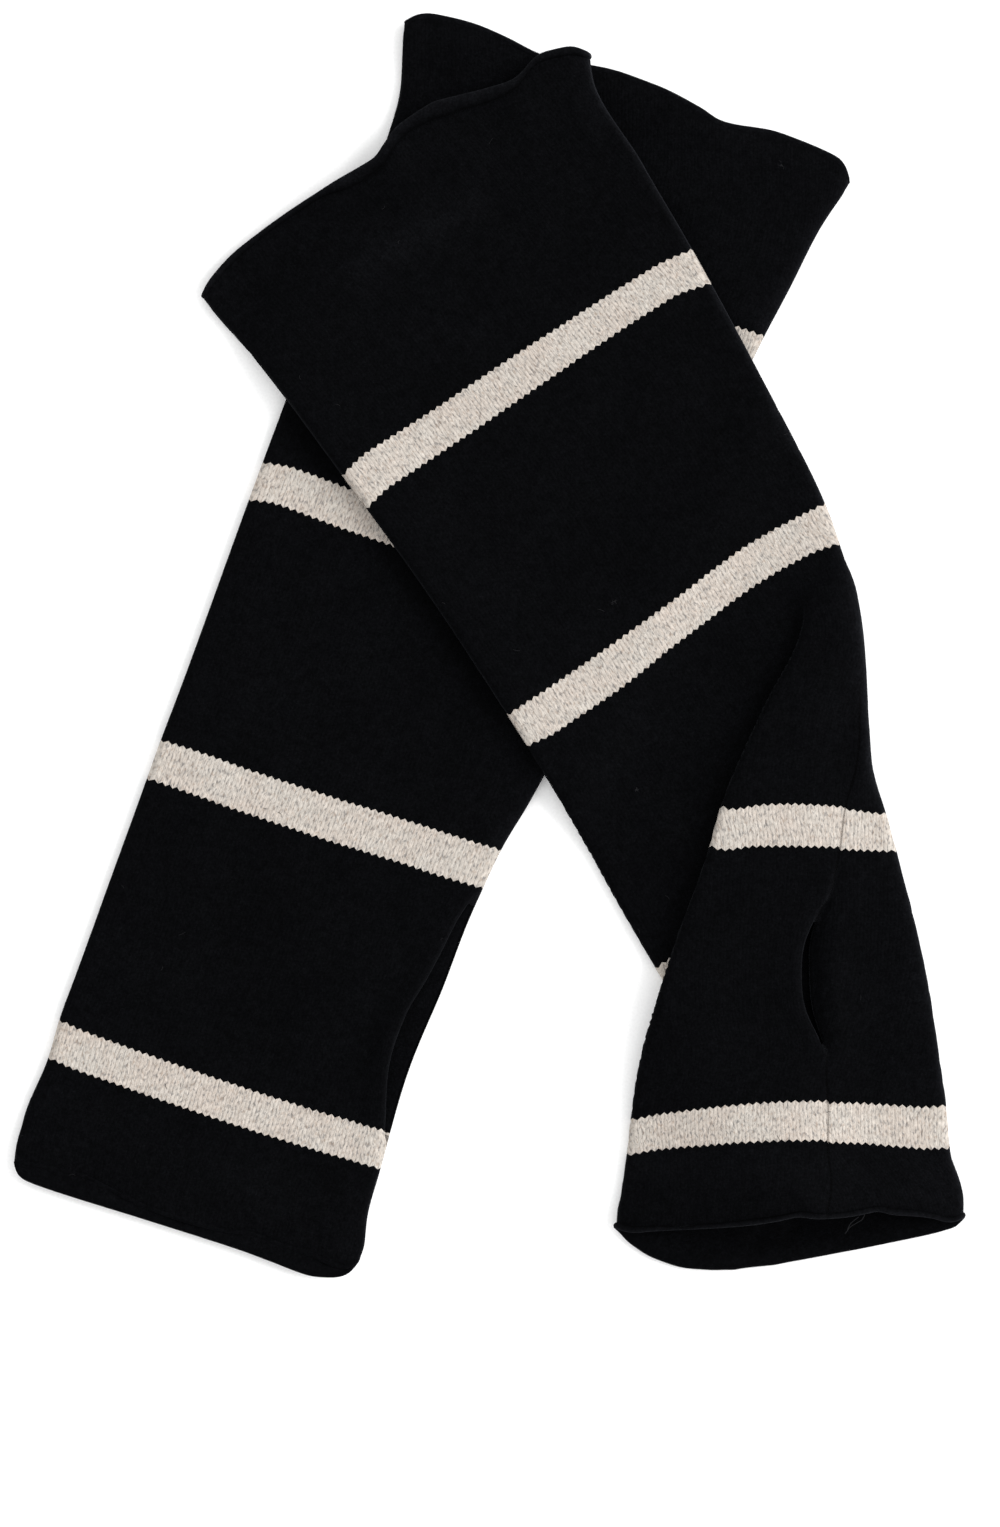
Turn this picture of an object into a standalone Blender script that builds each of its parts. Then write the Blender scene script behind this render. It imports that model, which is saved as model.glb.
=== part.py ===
"""A pair of long knitted fingerless gloves, laid flat on a table and crossed, one over the other.

Each glove is one knitted panel, folded along its left edge and sewn into a tube along its thumb
side, with a slit left in the seam for the thumb. Its two raw ends curl outwards into rolled edges.
The upper glove turns over on itself near the hand, which leaves one slanting pleat across it, and
its hand end stands open. The frame looks down on the table: x to the right, y away from the
wearer's hands, z up. Sizes are in millimetres of the laid pair and are scaled to metres at the end.
"""

import math
from collections import namedtuple

import bpy
import numpy as np

MM = 0.001

# The cloth: its wall, the air between two layers, and how far the wall swells in a rolled edge
WALL = 1.1
LAYER_AIR = 0.9
LAYER_PITCH = WALL + LAYER_AIR
HALF_WALL = WALL / 2
ROLL_SWELL = 1.0
ROLL_WIDTH = 3.2
ROLL_PROFILE = ((0.0, 0.25), (0.8, 0.8), (2.0, ROLL_SWELL), (ROLL_WIDTH, 0.35), (4.6, 0.0))

# A rolled edge holds the cloth up by its own swelling, and this is how slowly the cloth comes down
END_SLOPE = 12.0

# How the ring round a section is drawn: its step, how softly its folds turn, and how far the turn
# draws the fold in from the line that it is drawn through
RING_STEP = 0.5
FOLD_SOFTENING = 8
FOLD_INSET = 0.35

# Where the upper glove climbs over the lower one it clears it by this, stays up this far past its
# edge and is down at the slope's end. The lower glove's rolled end, this far outside the straight
# line between its corners, lifts it a little more
OVER_CLEARANCE = 0.3
LOWER_THICKNESS = 2 * WALL + LAYER_AIR
OVER_PLATEAU = 4.5
OVER_SLOPE = 20.0
HEM_OUTSIDE = 5.0
HEM_PLATEAU = 8.5

# The stripes, by the distance of their upper edge from the elbow end's corners
STRIPE_WIDTH = 10.8
LOWER_STRIPES = (48.4, 128.6, 208.6, 288.6)
UPPER_STRIPES = (60.0, 138.3, 219.3, 297.5)

# One row for each place along a glove: how far along the cloth it is, and where its left fold and
# its right edge lie on the table
Section = namedtuple("Section", "along left_x left_y right_x right_y")

LOWER_SECTIONS = (
    Section(0.0, -22.5, 168.5, 98.4, 124.7),
    Section(15.4, -22.8, 152.8, 90.0, 112.3),
    Section(33.4, -27.4, 135.3, 81.9, 96.4),
    Section(48.4, -33.1, 121.5, 74.9, 83.2),
    Section(128.6, -60.4, 49.4, 41.4, 14.9),
    Section(192.6, -82.2, -10.6, 12.0, -41.6),
    Section(208.6, -87.8, -25.4, 3.9, -55.3),
    Section(228.0, -94.5, -44.0, -4.5, -74.0),
    Section(247.6, -101.2, -62.4, -11.6, -92.9),
    Section(269.8, -108.7, -83.2, -20.2, -113.4),
    Section(288.6, -115.2, -101.0, -25.9, -131.5),
    Section(300.2, -118.4, -111.8, -28.8, -142.0),
    Section(314.0, -123.5, -123.9, -32.3, -155.0),
    Section(327.0, -127.8, -138.8, -33.6, -166.3),
)

UPPER_SECTIONS = (
    Section(0.0, -77.1, 94.5, 28.3, 159.2),
    Section(5.0, -73.9, 90.7, 28.5, 154.0),
    Section(28.0, -59.0, 73.2, 41.7, 130.1),
    Section(60.0, -38.6, 45.8, 55.5, 106.4),
    Section(97.0, -17.0, 16.0, 73.0, 74.1),
    Section(138.3, 5.8, -18.6, 91.3, 38.1),
    Section(149.9, 11.3, -27.5, 95.4, 26.5),
    Section(163.4, 18.6, -39.4, 100.0, 12.4),
    Section(176.0, 25.2, -50.8, 101.7, -1.1),
    Section(203.0, 38.2, -74.0, 103.5, -30.8),
    Section(219.3, 45.8, -86.9, 107.6, -45.1),
    Section(256.5, 64.4, -119.3, 116.8, -80.7),
    Section(270.0, 70.9, -130.7, 119.7, -95.6),
    Section(285.4, 78.2, -141.5, 121.9, -110.7),
    Section(297.5, 82.8, -146.9, 123.8, -123.7),
    Section(309.2, 81.9, -153.0, 125.4, -136.1),
    Section(321.0, 79.5, -160.9, 129.2, -148.5),
    Section(329.7, 77.1, -166.3, 128.4, -155.5),
)

# The upper glove's pleat: its under fold runs down beneath the hand, its over fold shows
Pleat = namedtuple("Pleat", "along under_x under_y over_x over_y")

PLEAT_ROWS = (
    Pleat(152.0, 82.8, 15.4, 87.6, 18.6),
    Pleat(160.5, 86.3, 8.6, 86.3, 8.6),
    Pleat(168.6, 86.0, -0.8, 84.4, 1.6),
    Pleat(189.0, 84.6, -25.1, 74.9, -16.2),
    Pleat(219.3, 82.8, -61.3, 63.0, -43.7),
    Pleat(231.0, 81.9, -75.1, 59.8, -55.1),
    Pleat(256.5, 80.3, -105.8, 50.4, -81.3),
    Pleat(270.0, 79.5, -122.0, 45.5, -96.4),
    Pleat(285.4, 78.2, -141.5, 40.9, -114.5),
    Pleat(297.5, 76.8, -146.9, 39.0, -128.0),
    Pleat(309.2, 75.5, -153.0, 37.9, -138.2),
    Pleat(321.0, 70.6, -160.9, 36.0, -149.6),
    Pleat(329.7, 66.3, -167.4, 34.7, -157.1),
)
# Along the glove: the pleat begins to rise, stands up, lies over, and ends where its under fold
# meets the glove's left edge and both run out into the palm's own layer
PLEAT_STARTS, PLEAT_STANDS, PLEAT_LIES = 152.0, 160.5, 189.0
PLEAT_MERGES = 285.4
PLEAT_ROW_PLACES = (156.5, 164.5, 292.0)

# Before the pleat begins its two folds are only lines on the cloth, this far from the right edge
PLEAT_FROM_RIGHT = (16.5, 10.5)

# The layers under the pleat lie between these two lines, which meet at the foot. They lift what
# lies over them out to this far past the lines and the foot
TUCK_LEFT_HEAD, TUCK_RIGHT_HEAD, TUCK_FOOT = (11.7, -27.5), (86.3, 8.6), (78.2, -141.5)
TUCK_PLATEAU = 1.0
TUCK_SLOPE = 12.0

# How far the ends of the cloth reach past the straight line between their corners, by the share of
# the way across, on the upper and the under layer
Reach = namedtuple("Reach", "across upper under")

LOWER_ELBOW = (
    Reach(0.0, 0.0, 0.0),
    Reach(0.02, 3.0, 2.0),
    Reach(0.053, 4.7, 3.4),
    Reach(0.153, 5.9, 4.4),
    Reach(0.215, 5.4, 4.0),
    Reach(0.294, 4.2, 2.8),
    Reach(0.475, 7.1, 5.2),
    Reach(0.547, 7.0, 5.2),
    Reach(0.655, 5.2, 3.6),
    Reach(0.697, 3.8, 2.4),
    Reach(0.826, 6.3, 4.6),
    Reach(0.896, 6.1, 4.4),
    Reach(0.958, 5.4, 3.8),
    Reach(0.984, 3.3, 2.0),
    Reach(1.0, 0.0, 0.0),
)
LOWER_HAND = (
    Reach(0.0, 0.0, 0.0),
    Reach(0.04, 0.2, 3.4),
    Reach(0.08, 0.1, 4.6),
    Reach(0.20, -0.7, 5.1),
    Reach(0.28, 0.6, 5.2),
    Reach(0.37, 2.3, 5.3),
    Reach(0.50, 3.1, 5.5),
    Reach(0.61, 2.7, 5.8),
    Reach(0.69, 1.3, 6.1),
    Reach(0.77, 1.8, 6.7),
    Reach(0.87, 2.4, 7.4),
    Reach(0.935, 3.2, 6.2),
    Reach(0.98, 2.6, 3.8),
    Reach(1.0, -2.0, -2.0),
)
UPPER_ELBOW = (
    Reach(0.0, 0.0, 0.0),
    Reach(0.026, 2.1, 1.4),
    Reach(0.127, 5.5, 3.8),
    Reach(0.288, 6.9, 5.2),
    Reach(0.391, 7.0, 5.2),
    Reach(0.478, 6.8, 5.0),
    Reach(0.514, 8.8, 6.6),
    Reach(0.565, 11.1, 8.4),
    Reach(0.643, 11.5, 8.8),
    Reach(0.699, 9.8, 7.4),
    Reach(0.774, 6.9, 5.0),
    Reach(0.829, 5.2, 3.6),
    Reach(0.904, 7.4, 5.0),
    Reach(0.938, 6.4, 4.2),
    Reach(0.981, 4.2, 2.6),
    Reach(1.0, 0.6, 0.6),
)
UPPER_HAND = (
    Reach(0.0, 0.0, 0.0),
    Reach(0.055, 1.2, 1.5),
    Reach(0.10, 0.8, 2.3),
    Reach(0.26, 0.1, 1.7),
    Reach(0.36, -0.6, 0.4),
    Reach(0.48, -2.2, 0.5),
    Reach(0.525, -3.1, 0.6),
    Reach(0.58, -2.3, 0.7),
    Reach(0.655, -2.6, 0.8),
    Reach(0.71, -3.3, 0.9),
    Reach(0.755, -4.1, 0.9),
    Reach(0.79, -3.1, 0.9),
    Reach(0.85, -2.7, 0.9),
    Reach(0.915, -1.9, 0.8),
    Reach(0.955, -0.8, 0.5),
    Reach(0.985, -0.9, -0.6),
    Reach(1.0, -2.6, -2.6),
)
ELBOW_FADE, HAND_FADE = 46.0, 22.0

# How far the upper layer's rows bow towards the elbow at mid-width, along the upper glove
UPPER_BOW = (
    (0.0, 0.0), (200.0, 0.0), (219.3, 1.6), (231.0, 0.4), (297.5, 3.4), (309.2, 3.4), (329.7, 0.0),
)

# The seam: its distance from the right edge, measured on the upper layer, along each glove
LOWER_SEAM = ((0.0, 0.0), (327.0, 0.0))
UPPER_SEAM = (
    (0.0, 4.4), (149.9, 4.0), (163.4, 3.3), (183.6, 2.8), (204.0, 5.2), (220.0, 11.9), (230.0, 15.5),
    (239.6, 19.8), (244.3, 22.4), (250.0, 26.0), (260.0, 30.2), (273.0, 32.0), (283.0, 30.8),
    (294.0, 32.1), (303.5, 33.0), (329.7, 39.5),
)
SEAM_SPACING = 1.3

# The thumb slit: how wide it stands, along each glove. The upper layer's lip and the far lip draw
# back by these shares of it, the cloth behind them follows less and less, and the first lip rises
LOWER_SLIT = (
    (220.0, 0.0), (229.0, 2.3), (237.0, 3.2), (247.3, 4.7), (256.4, 6.0), (264.8, 5.8), (271.8, 5.0),
    (278.2, 3.7), (285.0, 2.3), (292.0, 0.0),
)
UPPER_SLIT = ((250.0, 0.0), (256.0, 2.0), (261.5, 3.1), (267.0, 3.4), (273.0, 2.6), (279.5, 0.0))
LOWER_LIP_SHARES, UPPER_LIP_SHARES = (1.0, 0.0), (0.7, 0.3)
SLIT_FALLOFF = 14.0
LIP_LIFT = 0.5

# Each lip's column, and the one behind it that it draws back towards
UPPER_LIP, FAR_LIP = (-1, -4), (0, 3)

# The open hand end of the upper glove, and the slack one of the lower: how high the upper lip stands
UPPER_MOUTH, LOWER_MOUTH = 6.8, 0.7
MOUTH_DEPTH = 42.0
MOUTH_FULLNESS = 0.9

# Soft folds pressed up in the upper layer, each from one point on the table to another, where it
# has lost this share of its height
Crease = namedtuple("Crease", "glove start_x start_y end_x end_y width height")
CREASE_LOSS = 0.7

CREASES = (
    Crease("upper", -27.0, 133.0, -13.0, 104.0, 5.0, 1.3),
    Crease("upper", -40.0, 117.0, -18.0, 97.0, 5.5, 0.9),
    Crease("upper", 8.0, 146.0, 12.0, 122.0, 5.0, 0.9),
    Crease("upper", 102.5, -24.0, 100.0, -38.0, 4.0, 1.2),
    Crease("upper", 93.0, 16.0, 96.0, -10.0, 5.0, 0.8),
    Crease("lower", -6.0, 163.0, -8.0, 153.0, 4.5, 0.7),
    Crease("lower", 62.0, 139.0, 56.0, 120.0, 5.5, 1.0),
    Crease("lower", -50.0, -154.0, -58.0, -140.0, 6.0, 0.8),
    Crease("lower", -24.0, -108.0, -34.0, -126.0, 5.0, 0.8),
)

# Columns of points round a ring. Each fold has one in its middle and one this far on each side, or
# nearer in a short stretch, and so many more lie in each stretch from the seam round to it again
FOLD_REACH = 1.3
LOWER_FOLDS = ("left",)
LOWER_BETWEEN = (8, 8)
UPPER_FOLDS = ("right", "left", "under", "over")
UPPER_BETWEEN = (1, 9, 6, 2, 8)

# Rows of points: there is one at each of the roll's places, and the rest are about this far apart
ROW_SPACING = 8.5

# Points along a glove that its outline on the table is drawn through
OUTLINE_POINTS = 60

CHARCOAL = (0.0040, 0.0046, 0.0056, 1.0)
OATMEAL = (0.66, 0.62, 0.52, 1.0)
KNIT_ROUGHNESS = 0.95


def ramp(value, start, end):
    """From 0 at start to 1 at end, with a soft foot and a soft head."""
    share = np.clip((np.asarray(value, float) - start) / (end - start), 0.0, 1.0)
    return share * share * (3.0 - 2.0 * share)


def curve_through(rows):
    """A smooth function through a table's rows that never swings past them: the first column is
    where, the rest are what."""
    table = np.array([tuple(row) for row in rows], float)
    where, what = table[:, 0], table[:, 1:]
    steps = np.diff(where)
    slopes = np.diff(what, axis=0) / steps[:, None]
    tangents = np.empty_like(what)
    tangents[0], tangents[-1] = slopes[0], slopes[-1]
    one_way = slopes[:-1] * slopes[1:] > 0.0
    both = np.where(one_way, slopes[:-1] + slopes[1:], 1.0)
    tangents[1:-1] = np.where(one_way, 2.0 * slopes[:-1] * slopes[1:] / both, 0.0)

    def read(at):
        at = np.clip(np.atleast_1d(np.asarray(at, float)), where[0], where[-1])
        i = np.clip(np.searchsorted(where, at, side="right") - 1, 0, len(steps) - 1)
        h = steps[i][:, None]
        s = ((at - where[i]) / steps[i])[:, None]
        rise = s * s * (3.0 - 2.0 * s)
        return (
            (1.0 - rise) * what[i]
            + rise * what[i + 1]
            + s * (1.0 - s) ** 2 * h * tangents[i]
            - s * s * (1.0 - s) * h * tangents[i + 1]
        )

    return read


def line_between(rows, at):
    """A plain reading of a two-column table, straight between its rows."""
    table = np.array(rows, float)
    return np.interp(at, table[:, 0], table[:, 1])


def distance_outside(points, outline):
    """How far each point lies outside a closed outline on the table, less than 0 inside it."""
    start = outline
    side = np.roll(outline, -1, axis=0) - start
    away = points[:, None, :] - start[None]
    share = np.clip((away * side).sum(2) / np.maximum((side * side).sum(1), 1e-9), 0.0, 1.0)
    gap = np.linalg.norm(away - share[..., None] * side, axis=2).min(axis=1)
    above = start[None, :, 1] > points[:, None, 1]
    end_above = np.roll(above, -1, axis=1)
    reach = np.where(np.abs(side[:, 1]) < 1e-12, 1e-12, side[:, 1])
    crossing = start[:, 0] + (points[:, None, 1] - start[:, 1]) * side[:, 0] / reach
    crossed = (above != end_above) & (points[:, None, 0] < crossing)
    inside = crossed.sum(axis=1) % 2 == 1
    return np.where(inside, -gap, gap)


def distance_left_of(points, start, end):
    """How far each point lies to the left of the line that runs from start to end."""
    along = np.subtract(end, start) / np.linalg.norm(np.subtract(end, start))
    away = points - np.asarray(start)
    return along[0] * away[:, 1] - along[1] * away[:, 0]


class Glove:
    """One glove's cloth: where its layers lie on the table, and how high."""

    def __init__(self, name, sections, stripes, seam, elbow, hand, slit, lip_shares, mouth):
        self.name = name
        self.length = sections[-1].along
        self.edges = curve_through(sections)
        self.stripes = stripes
        self.seam = seam
        self.slit = slit
        self.elbow_reach = curve_through(elbow)
        self.hand_reach = curve_through(hand)
        self.mouth = mouth
        self.lip_shares = lip_shares

    def edge_points(self, along):
        """Where the middle of the wall turns at the left fold and at the right edge."""
        left_x, left_y, right_x, right_y = self.edges(along)[0]
        left, right = np.array((left_x, left_y)), np.array((right_x, right_y))
        inward = (right - left) / np.linalg.norm(right - left) * FOLD_INSET
        return left + inward, right - inward

    def hem_shift(self, along, across, column):
        """How far an end's reach moves a point towards the elbow; column is 0 above and 1 below."""
        elbow = self.elbow_reach(across)[:, column] * (1.0 - ramp(along, 0.0, ELBOW_FADE))
        from_hand = self.length - along
        hand = self.hand_reach(across)[:, column] * (1.0 - ramp(from_hand, 0.0, HAND_FADE))
        return elbow - hand

    def end_lift(self, along):
        """The rolled edges hold the cloth up off the table by their own swelling."""
        to_end = min(along, self.length - along)
        return ROLL_SWELL * (1.0 - ramp(to_end, ROLL_WIDTH, ROLL_WIDTH + END_SLOPE))

    def mouth_lift(self, along, across):
        """How high the hand end's upper lip stands open."""
        near_end = 1.0 - ramp(self.length - along, 0.0, MOUTH_DEPTH)
        return self.mouth * near_end * np.sin(math.pi * np.clip(across, 0.0, 1.0)) ** MOUTH_FULLNESS

    def crease_lift(self, points):
        """How high the soft folds stand at these points on the table."""
        lift = np.zeros(len(points))
        for crease in CREASES:
            if crease.glove != self.name:
                continue
            start = np.array((crease.start_x, crease.start_y))
            side = np.array((crease.end_x, crease.end_y)) - start
            share = np.clip((points - start) @ side / (side @ side), 0.0, 1.0)
            gap = np.linalg.norm(points - start - share[:, None] * side, axis=1)
            lift += crease.height * (1.0 - CREASE_LOSS * share) * np.exp(-((gap / crease.width) ** 2))
        return lift


def lower_glove():
    ends = {"elbow": LOWER_ELBOW, "hand": LOWER_HAND}
    opening = {"slit": LOWER_SLIT, "lip_shares": LOWER_LIP_SHARES, "mouth": LOWER_MOUTH}
    return Glove("lower", LOWER_SECTIONS, LOWER_STRIPES, LOWER_SEAM, **ends, **opening)


def upper_glove():
    ends = {"elbow": UPPER_ELBOW, "hand": UPPER_HAND}
    opening = {"slit": UPPER_SLIT, "lip_shares": UPPER_LIP_SHARES, "mouth": UPPER_MOUTH}
    return Glove("upper", UPPER_SECTIONS, UPPER_STRIPES, UPPER_SEAM, **ends, **opening)


def outline_on_table(glove):
    """The outline of a glove that lies in two plain layers, seen from above."""
    places = np.linspace(0.0, glove.length, OUTLINE_POINTS)
    edges = glove.edges(places)
    return np.vstack((edges[:, :2], edges[::-1, 2:]))


def over_lift(points, below):
    """How high the upper glove is carried by the lower one, at these points on the table."""
    outside = distance_outside(points, outline_on_table(below))
    body = 1.0 - ramp(outside, OVER_PLATEAU, OVER_PLATEAU + OVER_SLOPE)
    left, right = below.edge_points(0.0)
    from_hem = np.abs(distance_left_of(points, left, right) - HEM_OUTSIDE)
    hem = 1.0 - ramp(from_hem, HEM_PLATEAU, OVER_PLATEAU + OVER_SLOPE)
    return (LOWER_THICKNESS + OVER_CLEARANCE) * body + 2 * ROLL_SWELL * body * hem


def pleat_lift(points, along):
    """From 0 to 1, how far the layers under the pleat hold up those that lie over them."""
    past_left = -distance_left_of(points, TUCK_LEFT_HEAD, TUCK_FOOT)
    past_right = distance_left_of(points, TUCK_RIGHT_HEAD, TUCK_FOOT)
    past_foot = TUCK_FOOT[1] - points[:, 1]
    outside = np.maximum(np.maximum(past_left, past_right), past_foot)
    held_up = 1.0 - ramp(outside, TUCK_PLATEAU, TUCK_PLATEAU + TUCK_SLOPE)
    return held_up * ramp(along, PLEAT_STARTS, PLEAT_STANDS)


def pleat_points(along, left, right):
    """The pleat's two folds. Short of the pleat they lie flat, a little in from the right edge."""
    if along < PLEAT_STARTS:
        back = (left - right) / np.linalg.norm(left - right)
        return right + back * PLEAT_FROM_RIGHT[0], right + back * PLEAT_FROM_RIGHT[1]
    under_x, under_y, over_x, over_y = curve_through(PLEAT_ROWS)(along)[0]
    return np.array((under_x, under_y)), np.array((over_x, over_y))


def run_between(start, end):
    """Points about RING_STEP apart from start to end, without the last."""
    count = max(int(np.linalg.norm(end - start) / RING_STEP), 2)
    shares = np.arange(count) / count
    return start + shares[:, None] * (end - start)


def softened(ring):
    """A closed ring whose corners are rounded off evenly."""
    for _ in range(FOLD_SOFTENING):
        ring = 0.5 * ring + 0.25 * (np.roll(ring, 1, axis=0) + np.roll(ring, -1, axis=0))
    return ring


def ring_from_layers(layers, fold_names):
    """Joins the layers end to end with upright steps, and marks the middle of each step."""
    points, marks, count = [], {}, 0
    for i, layer in enumerate(layers):
        points.append(layer)
        count += len(layer)
        after = layers[(i + 1) % len(layers)]
        step = run_between(layer[-1], after[0])
        marks[fold_names[i]] = count - 1 + len(step) / 2.0
        points.append(step[1:])
        count += len(step) - 1
    return np.vstack(points), marks


def layer_points(start, end):
    """Points of a layer on the table, both ends included."""
    return np.vstack((run_between(start, end), end))


def shares_across(points, first, last):
    """How far across a glove each point is, from its left silhouette to its right one."""
    side = last - first
    return np.clip((points - first) @ side / (side @ side), 0.0, 1.0)


def raised(plan, heights):
    """Points on the table given their heights."""
    return np.column_stack((plan, heights))


def moved_rows(glove, along, plan, first, last, column, bow=0.0):
    """A layer's points, moved along the glove by its end's reach and its bow, and their shares of
    the way across. The column of the reach is 0 for the upper layer and 1 for the under one."""
    across = shares_across(plan, first, last)
    side = (last - first) / np.linalg.norm(last - first)
    to_elbow = np.array((-side[1], side[0]))
    shift = glove.hem_shift(along, across, column) + bow * np.sin(math.pi * across)
    return plan + shift[:, None] * to_elbow, across


def lower_ring(glove, along):
    """The lower glove's closed ring at a place along it, in two layers."""
    left, right = glove.edge_points(along)
    lift = HALF_WALL + glove.end_lift(along)
    bottom, _ = moved_rows(glove, along, layer_points(right, left), left, right, 1)
    top, across = moved_rows(glove, along, layer_points(left, right), left, right, 0)
    top_height = lift + LAYER_PITCH + glove.mouth_lift(along, across) + glove.crease_lift(top)
    layers = [raised(bottom, np.full(len(bottom), lift)), raised(top, top_height)]
    return ring_from_layers(layers, ("left", "right"))


def upper_ring(glove, along, below):
    """The upper glove's closed ring at a place along it. From the bottom it runs round the left
    fold, back by the pleat's under fold and forth by its over fold, to the right edge."""
    left, right = glove.edge_points(along)
    under, over = pleat_points(along, left, right)
    lies = float(ramp(along, PLEAT_STANDS, PLEAT_LIES))
    inward = (right - over) / np.linalg.norm(right - over) * FOLD_INSET
    over = over + inward * lies
    bow = line_between(UPPER_BOW, along)
    past_apex = along > PLEAT_STANDS
    leftmost = over if past_apex else left
    merged = along > PLEAT_MERGES
    lift = HALF_WALL + glove.end_lift(along)

    plan = layer_points(right, left)
    bottom, _ = moved_rows(glove, along, plan, leftmost, right, 1)
    bottom = raised(bottom, lift + over_lift(bottom, below))

    plan = layer_points(left, under)
    second, _ = moved_rows(glove, along, plan, leftmost, right, 1 if merged else 0)
    level = pleat_lift(second, along) if merged else np.ones(len(plan))
    height = lift + LAYER_PITCH * level + over_lift(second, below)
    second = raised(second, height + glove.crease_lift(second))

    plan = layer_points(under, over)
    third, _ = moved_rows(glove, along, plan, leftmost, right, 1 if past_apex else 0)
    level = (1.0 - lies) + (1.0 + lies) * pleat_lift(third, along)
    third = raised(third, lift + LAYER_PITCH * level + over_lift(third, below))

    plan = layer_points(over, right)
    top, across = moved_rows(glove, along, plan, leftmost, right, 0, bow)
    level = 1.0 + 2.0 * pleat_lift(top, along)
    height = lift + LAYER_PITCH * level + over_lift(top, below)
    top = raised(top, height + glove.mouth_lift(along, across) + glove.crease_lift(top))
    return ring_from_layers([bottom, second, third, top], ("left", "under", "over", "right"))


def column_places(stops, inner_counts, seam_on_fold):
    """Where the columns stand round a ring, from just past the seam to just short of it."""
    places = [stops[0] + SEAM_SPACING / 2.0] if seam_on_fold else []
    by_seam = SEAM_SPACING / 2.0 + (FOLD_REACH if seam_on_fold else 0.0)
    last = len(stops) - 2
    for i, (start, end, inner) in enumerate(zip(stops[:-1], stops[1:], inner_counts)):
        by_fold = min(FOLD_REACH, (end - start) / (inner + 3))
        near = start + (by_seam if i == 0 else by_fold)
        far = end - (by_seam if i == last else by_fold)
        if i > 0:
            places.append(start)
        places += list(np.linspace(near, far, inner + 2))
    if seam_on_fold:
        places.append(stops[-1] - SEAM_SPACING / 2.0)
    return np.array(places)


def read_ring(ring, marks, folds, inner_counts, seam_back):
    """Reads a softened ring at its columns. The first column is just past the seam."""
    soft = softened(ring)
    closed = np.vstack((soft, soft[:1]))
    travelled = np.concatenate(([0.0], np.cumsum(np.linalg.norm(np.diff(closed, axis=0), axis=1))))
    total = travelled[-1]
    seam = float(np.interp(marks["right"], np.arange(len(travelled)), travelled)) - seam_back
    stops = [seam]
    for name in folds:
        place = float(np.interp(marks[name], np.arange(len(travelled)), travelled))
        stops.append(place if place > stops[-1] else place + total)
    stops.append(seam + total)
    around = column_places(stops, inner_counts, "right" not in folds) % total
    return np.column_stack([np.interp(around, travelled, closed[:, axis]) for axis in range(3)])


def row_places(glove):
    """Where the rows of points stand: by the ends, at the stripes' edges and between."""
    by_end = [row[0] for row in ROLL_PROFILE]
    fixed = set(by_end) | {glove.length - place for place in by_end}
    for start in glove.stripes:
        fixed |= {start, start + STRIPE_WIDTH}
    fixed |= {row[0] for row in glove.slit}
    if glove.name == "upper":
        fixed |= {PLEAT_STARTS, PLEAT_STANDS, PLEAT_MERGES, *PLEAT_ROW_PLACES}
    places = sorted(fixed)
    between = []
    for start, end in zip(places[:-1], places[1:]):
        count = max(round((end - start) / ROW_SPACING), 1)
        between += [start + (end - start) * i / count for i in range(1, count)]
    return np.array(sorted(places + between))


def normals_of(grid):
    """Outward directions on a grid of rings, whose columns run round the tube clockwise."""
    along = np.empty_like(grid)
    along[1:-1] = grid[2:] - grid[:-2]
    along[0], along[-1] = grid[1] - grid[0], grid[-1] - grid[-2]
    round_tube = np.roll(grid, -1, axis=1) - np.roll(grid, 1, axis=1)
    normals = np.cross(along, round_tube)
    return normals / np.linalg.norm(normals, axis=2, keepdims=True)


def opened_slit(glove, grid, places):
    """Draws the slit's two lips apart, less and less away from them."""
    opening = line_between([(0.0, 0.0), *glove.slit, (glove.length, 0.0)], places)
    steps = np.linalg.norm(np.diff(grid, axis=1), axis=2)
    from_first = np.hstack((np.zeros((len(grid), 1)), np.cumsum(steps, axis=1)))
    from_last = from_first[:, -1:] - from_first
    moved = grid.copy()
    upper_share, far_share = glove.lip_shares
    for share, away, (lip, back) in (
        (upper_share, from_last, UPPER_LIP),
        (far_share, from_first, FAR_LIP),
    ):
        drawn = (1.0 - ramp(away, 0.0, SLIT_FALLOFF)) * opening[:, None] * share
        way = grid[:, back] - grid[:, lip]
        way /= np.linalg.norm(way, axis=1, keepdims=True)
        moved += drawn[..., None] * way[:, None, :]
        if away is from_last:
            moved[..., 2] += LIP_LIFT * drawn
    return moved


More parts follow.
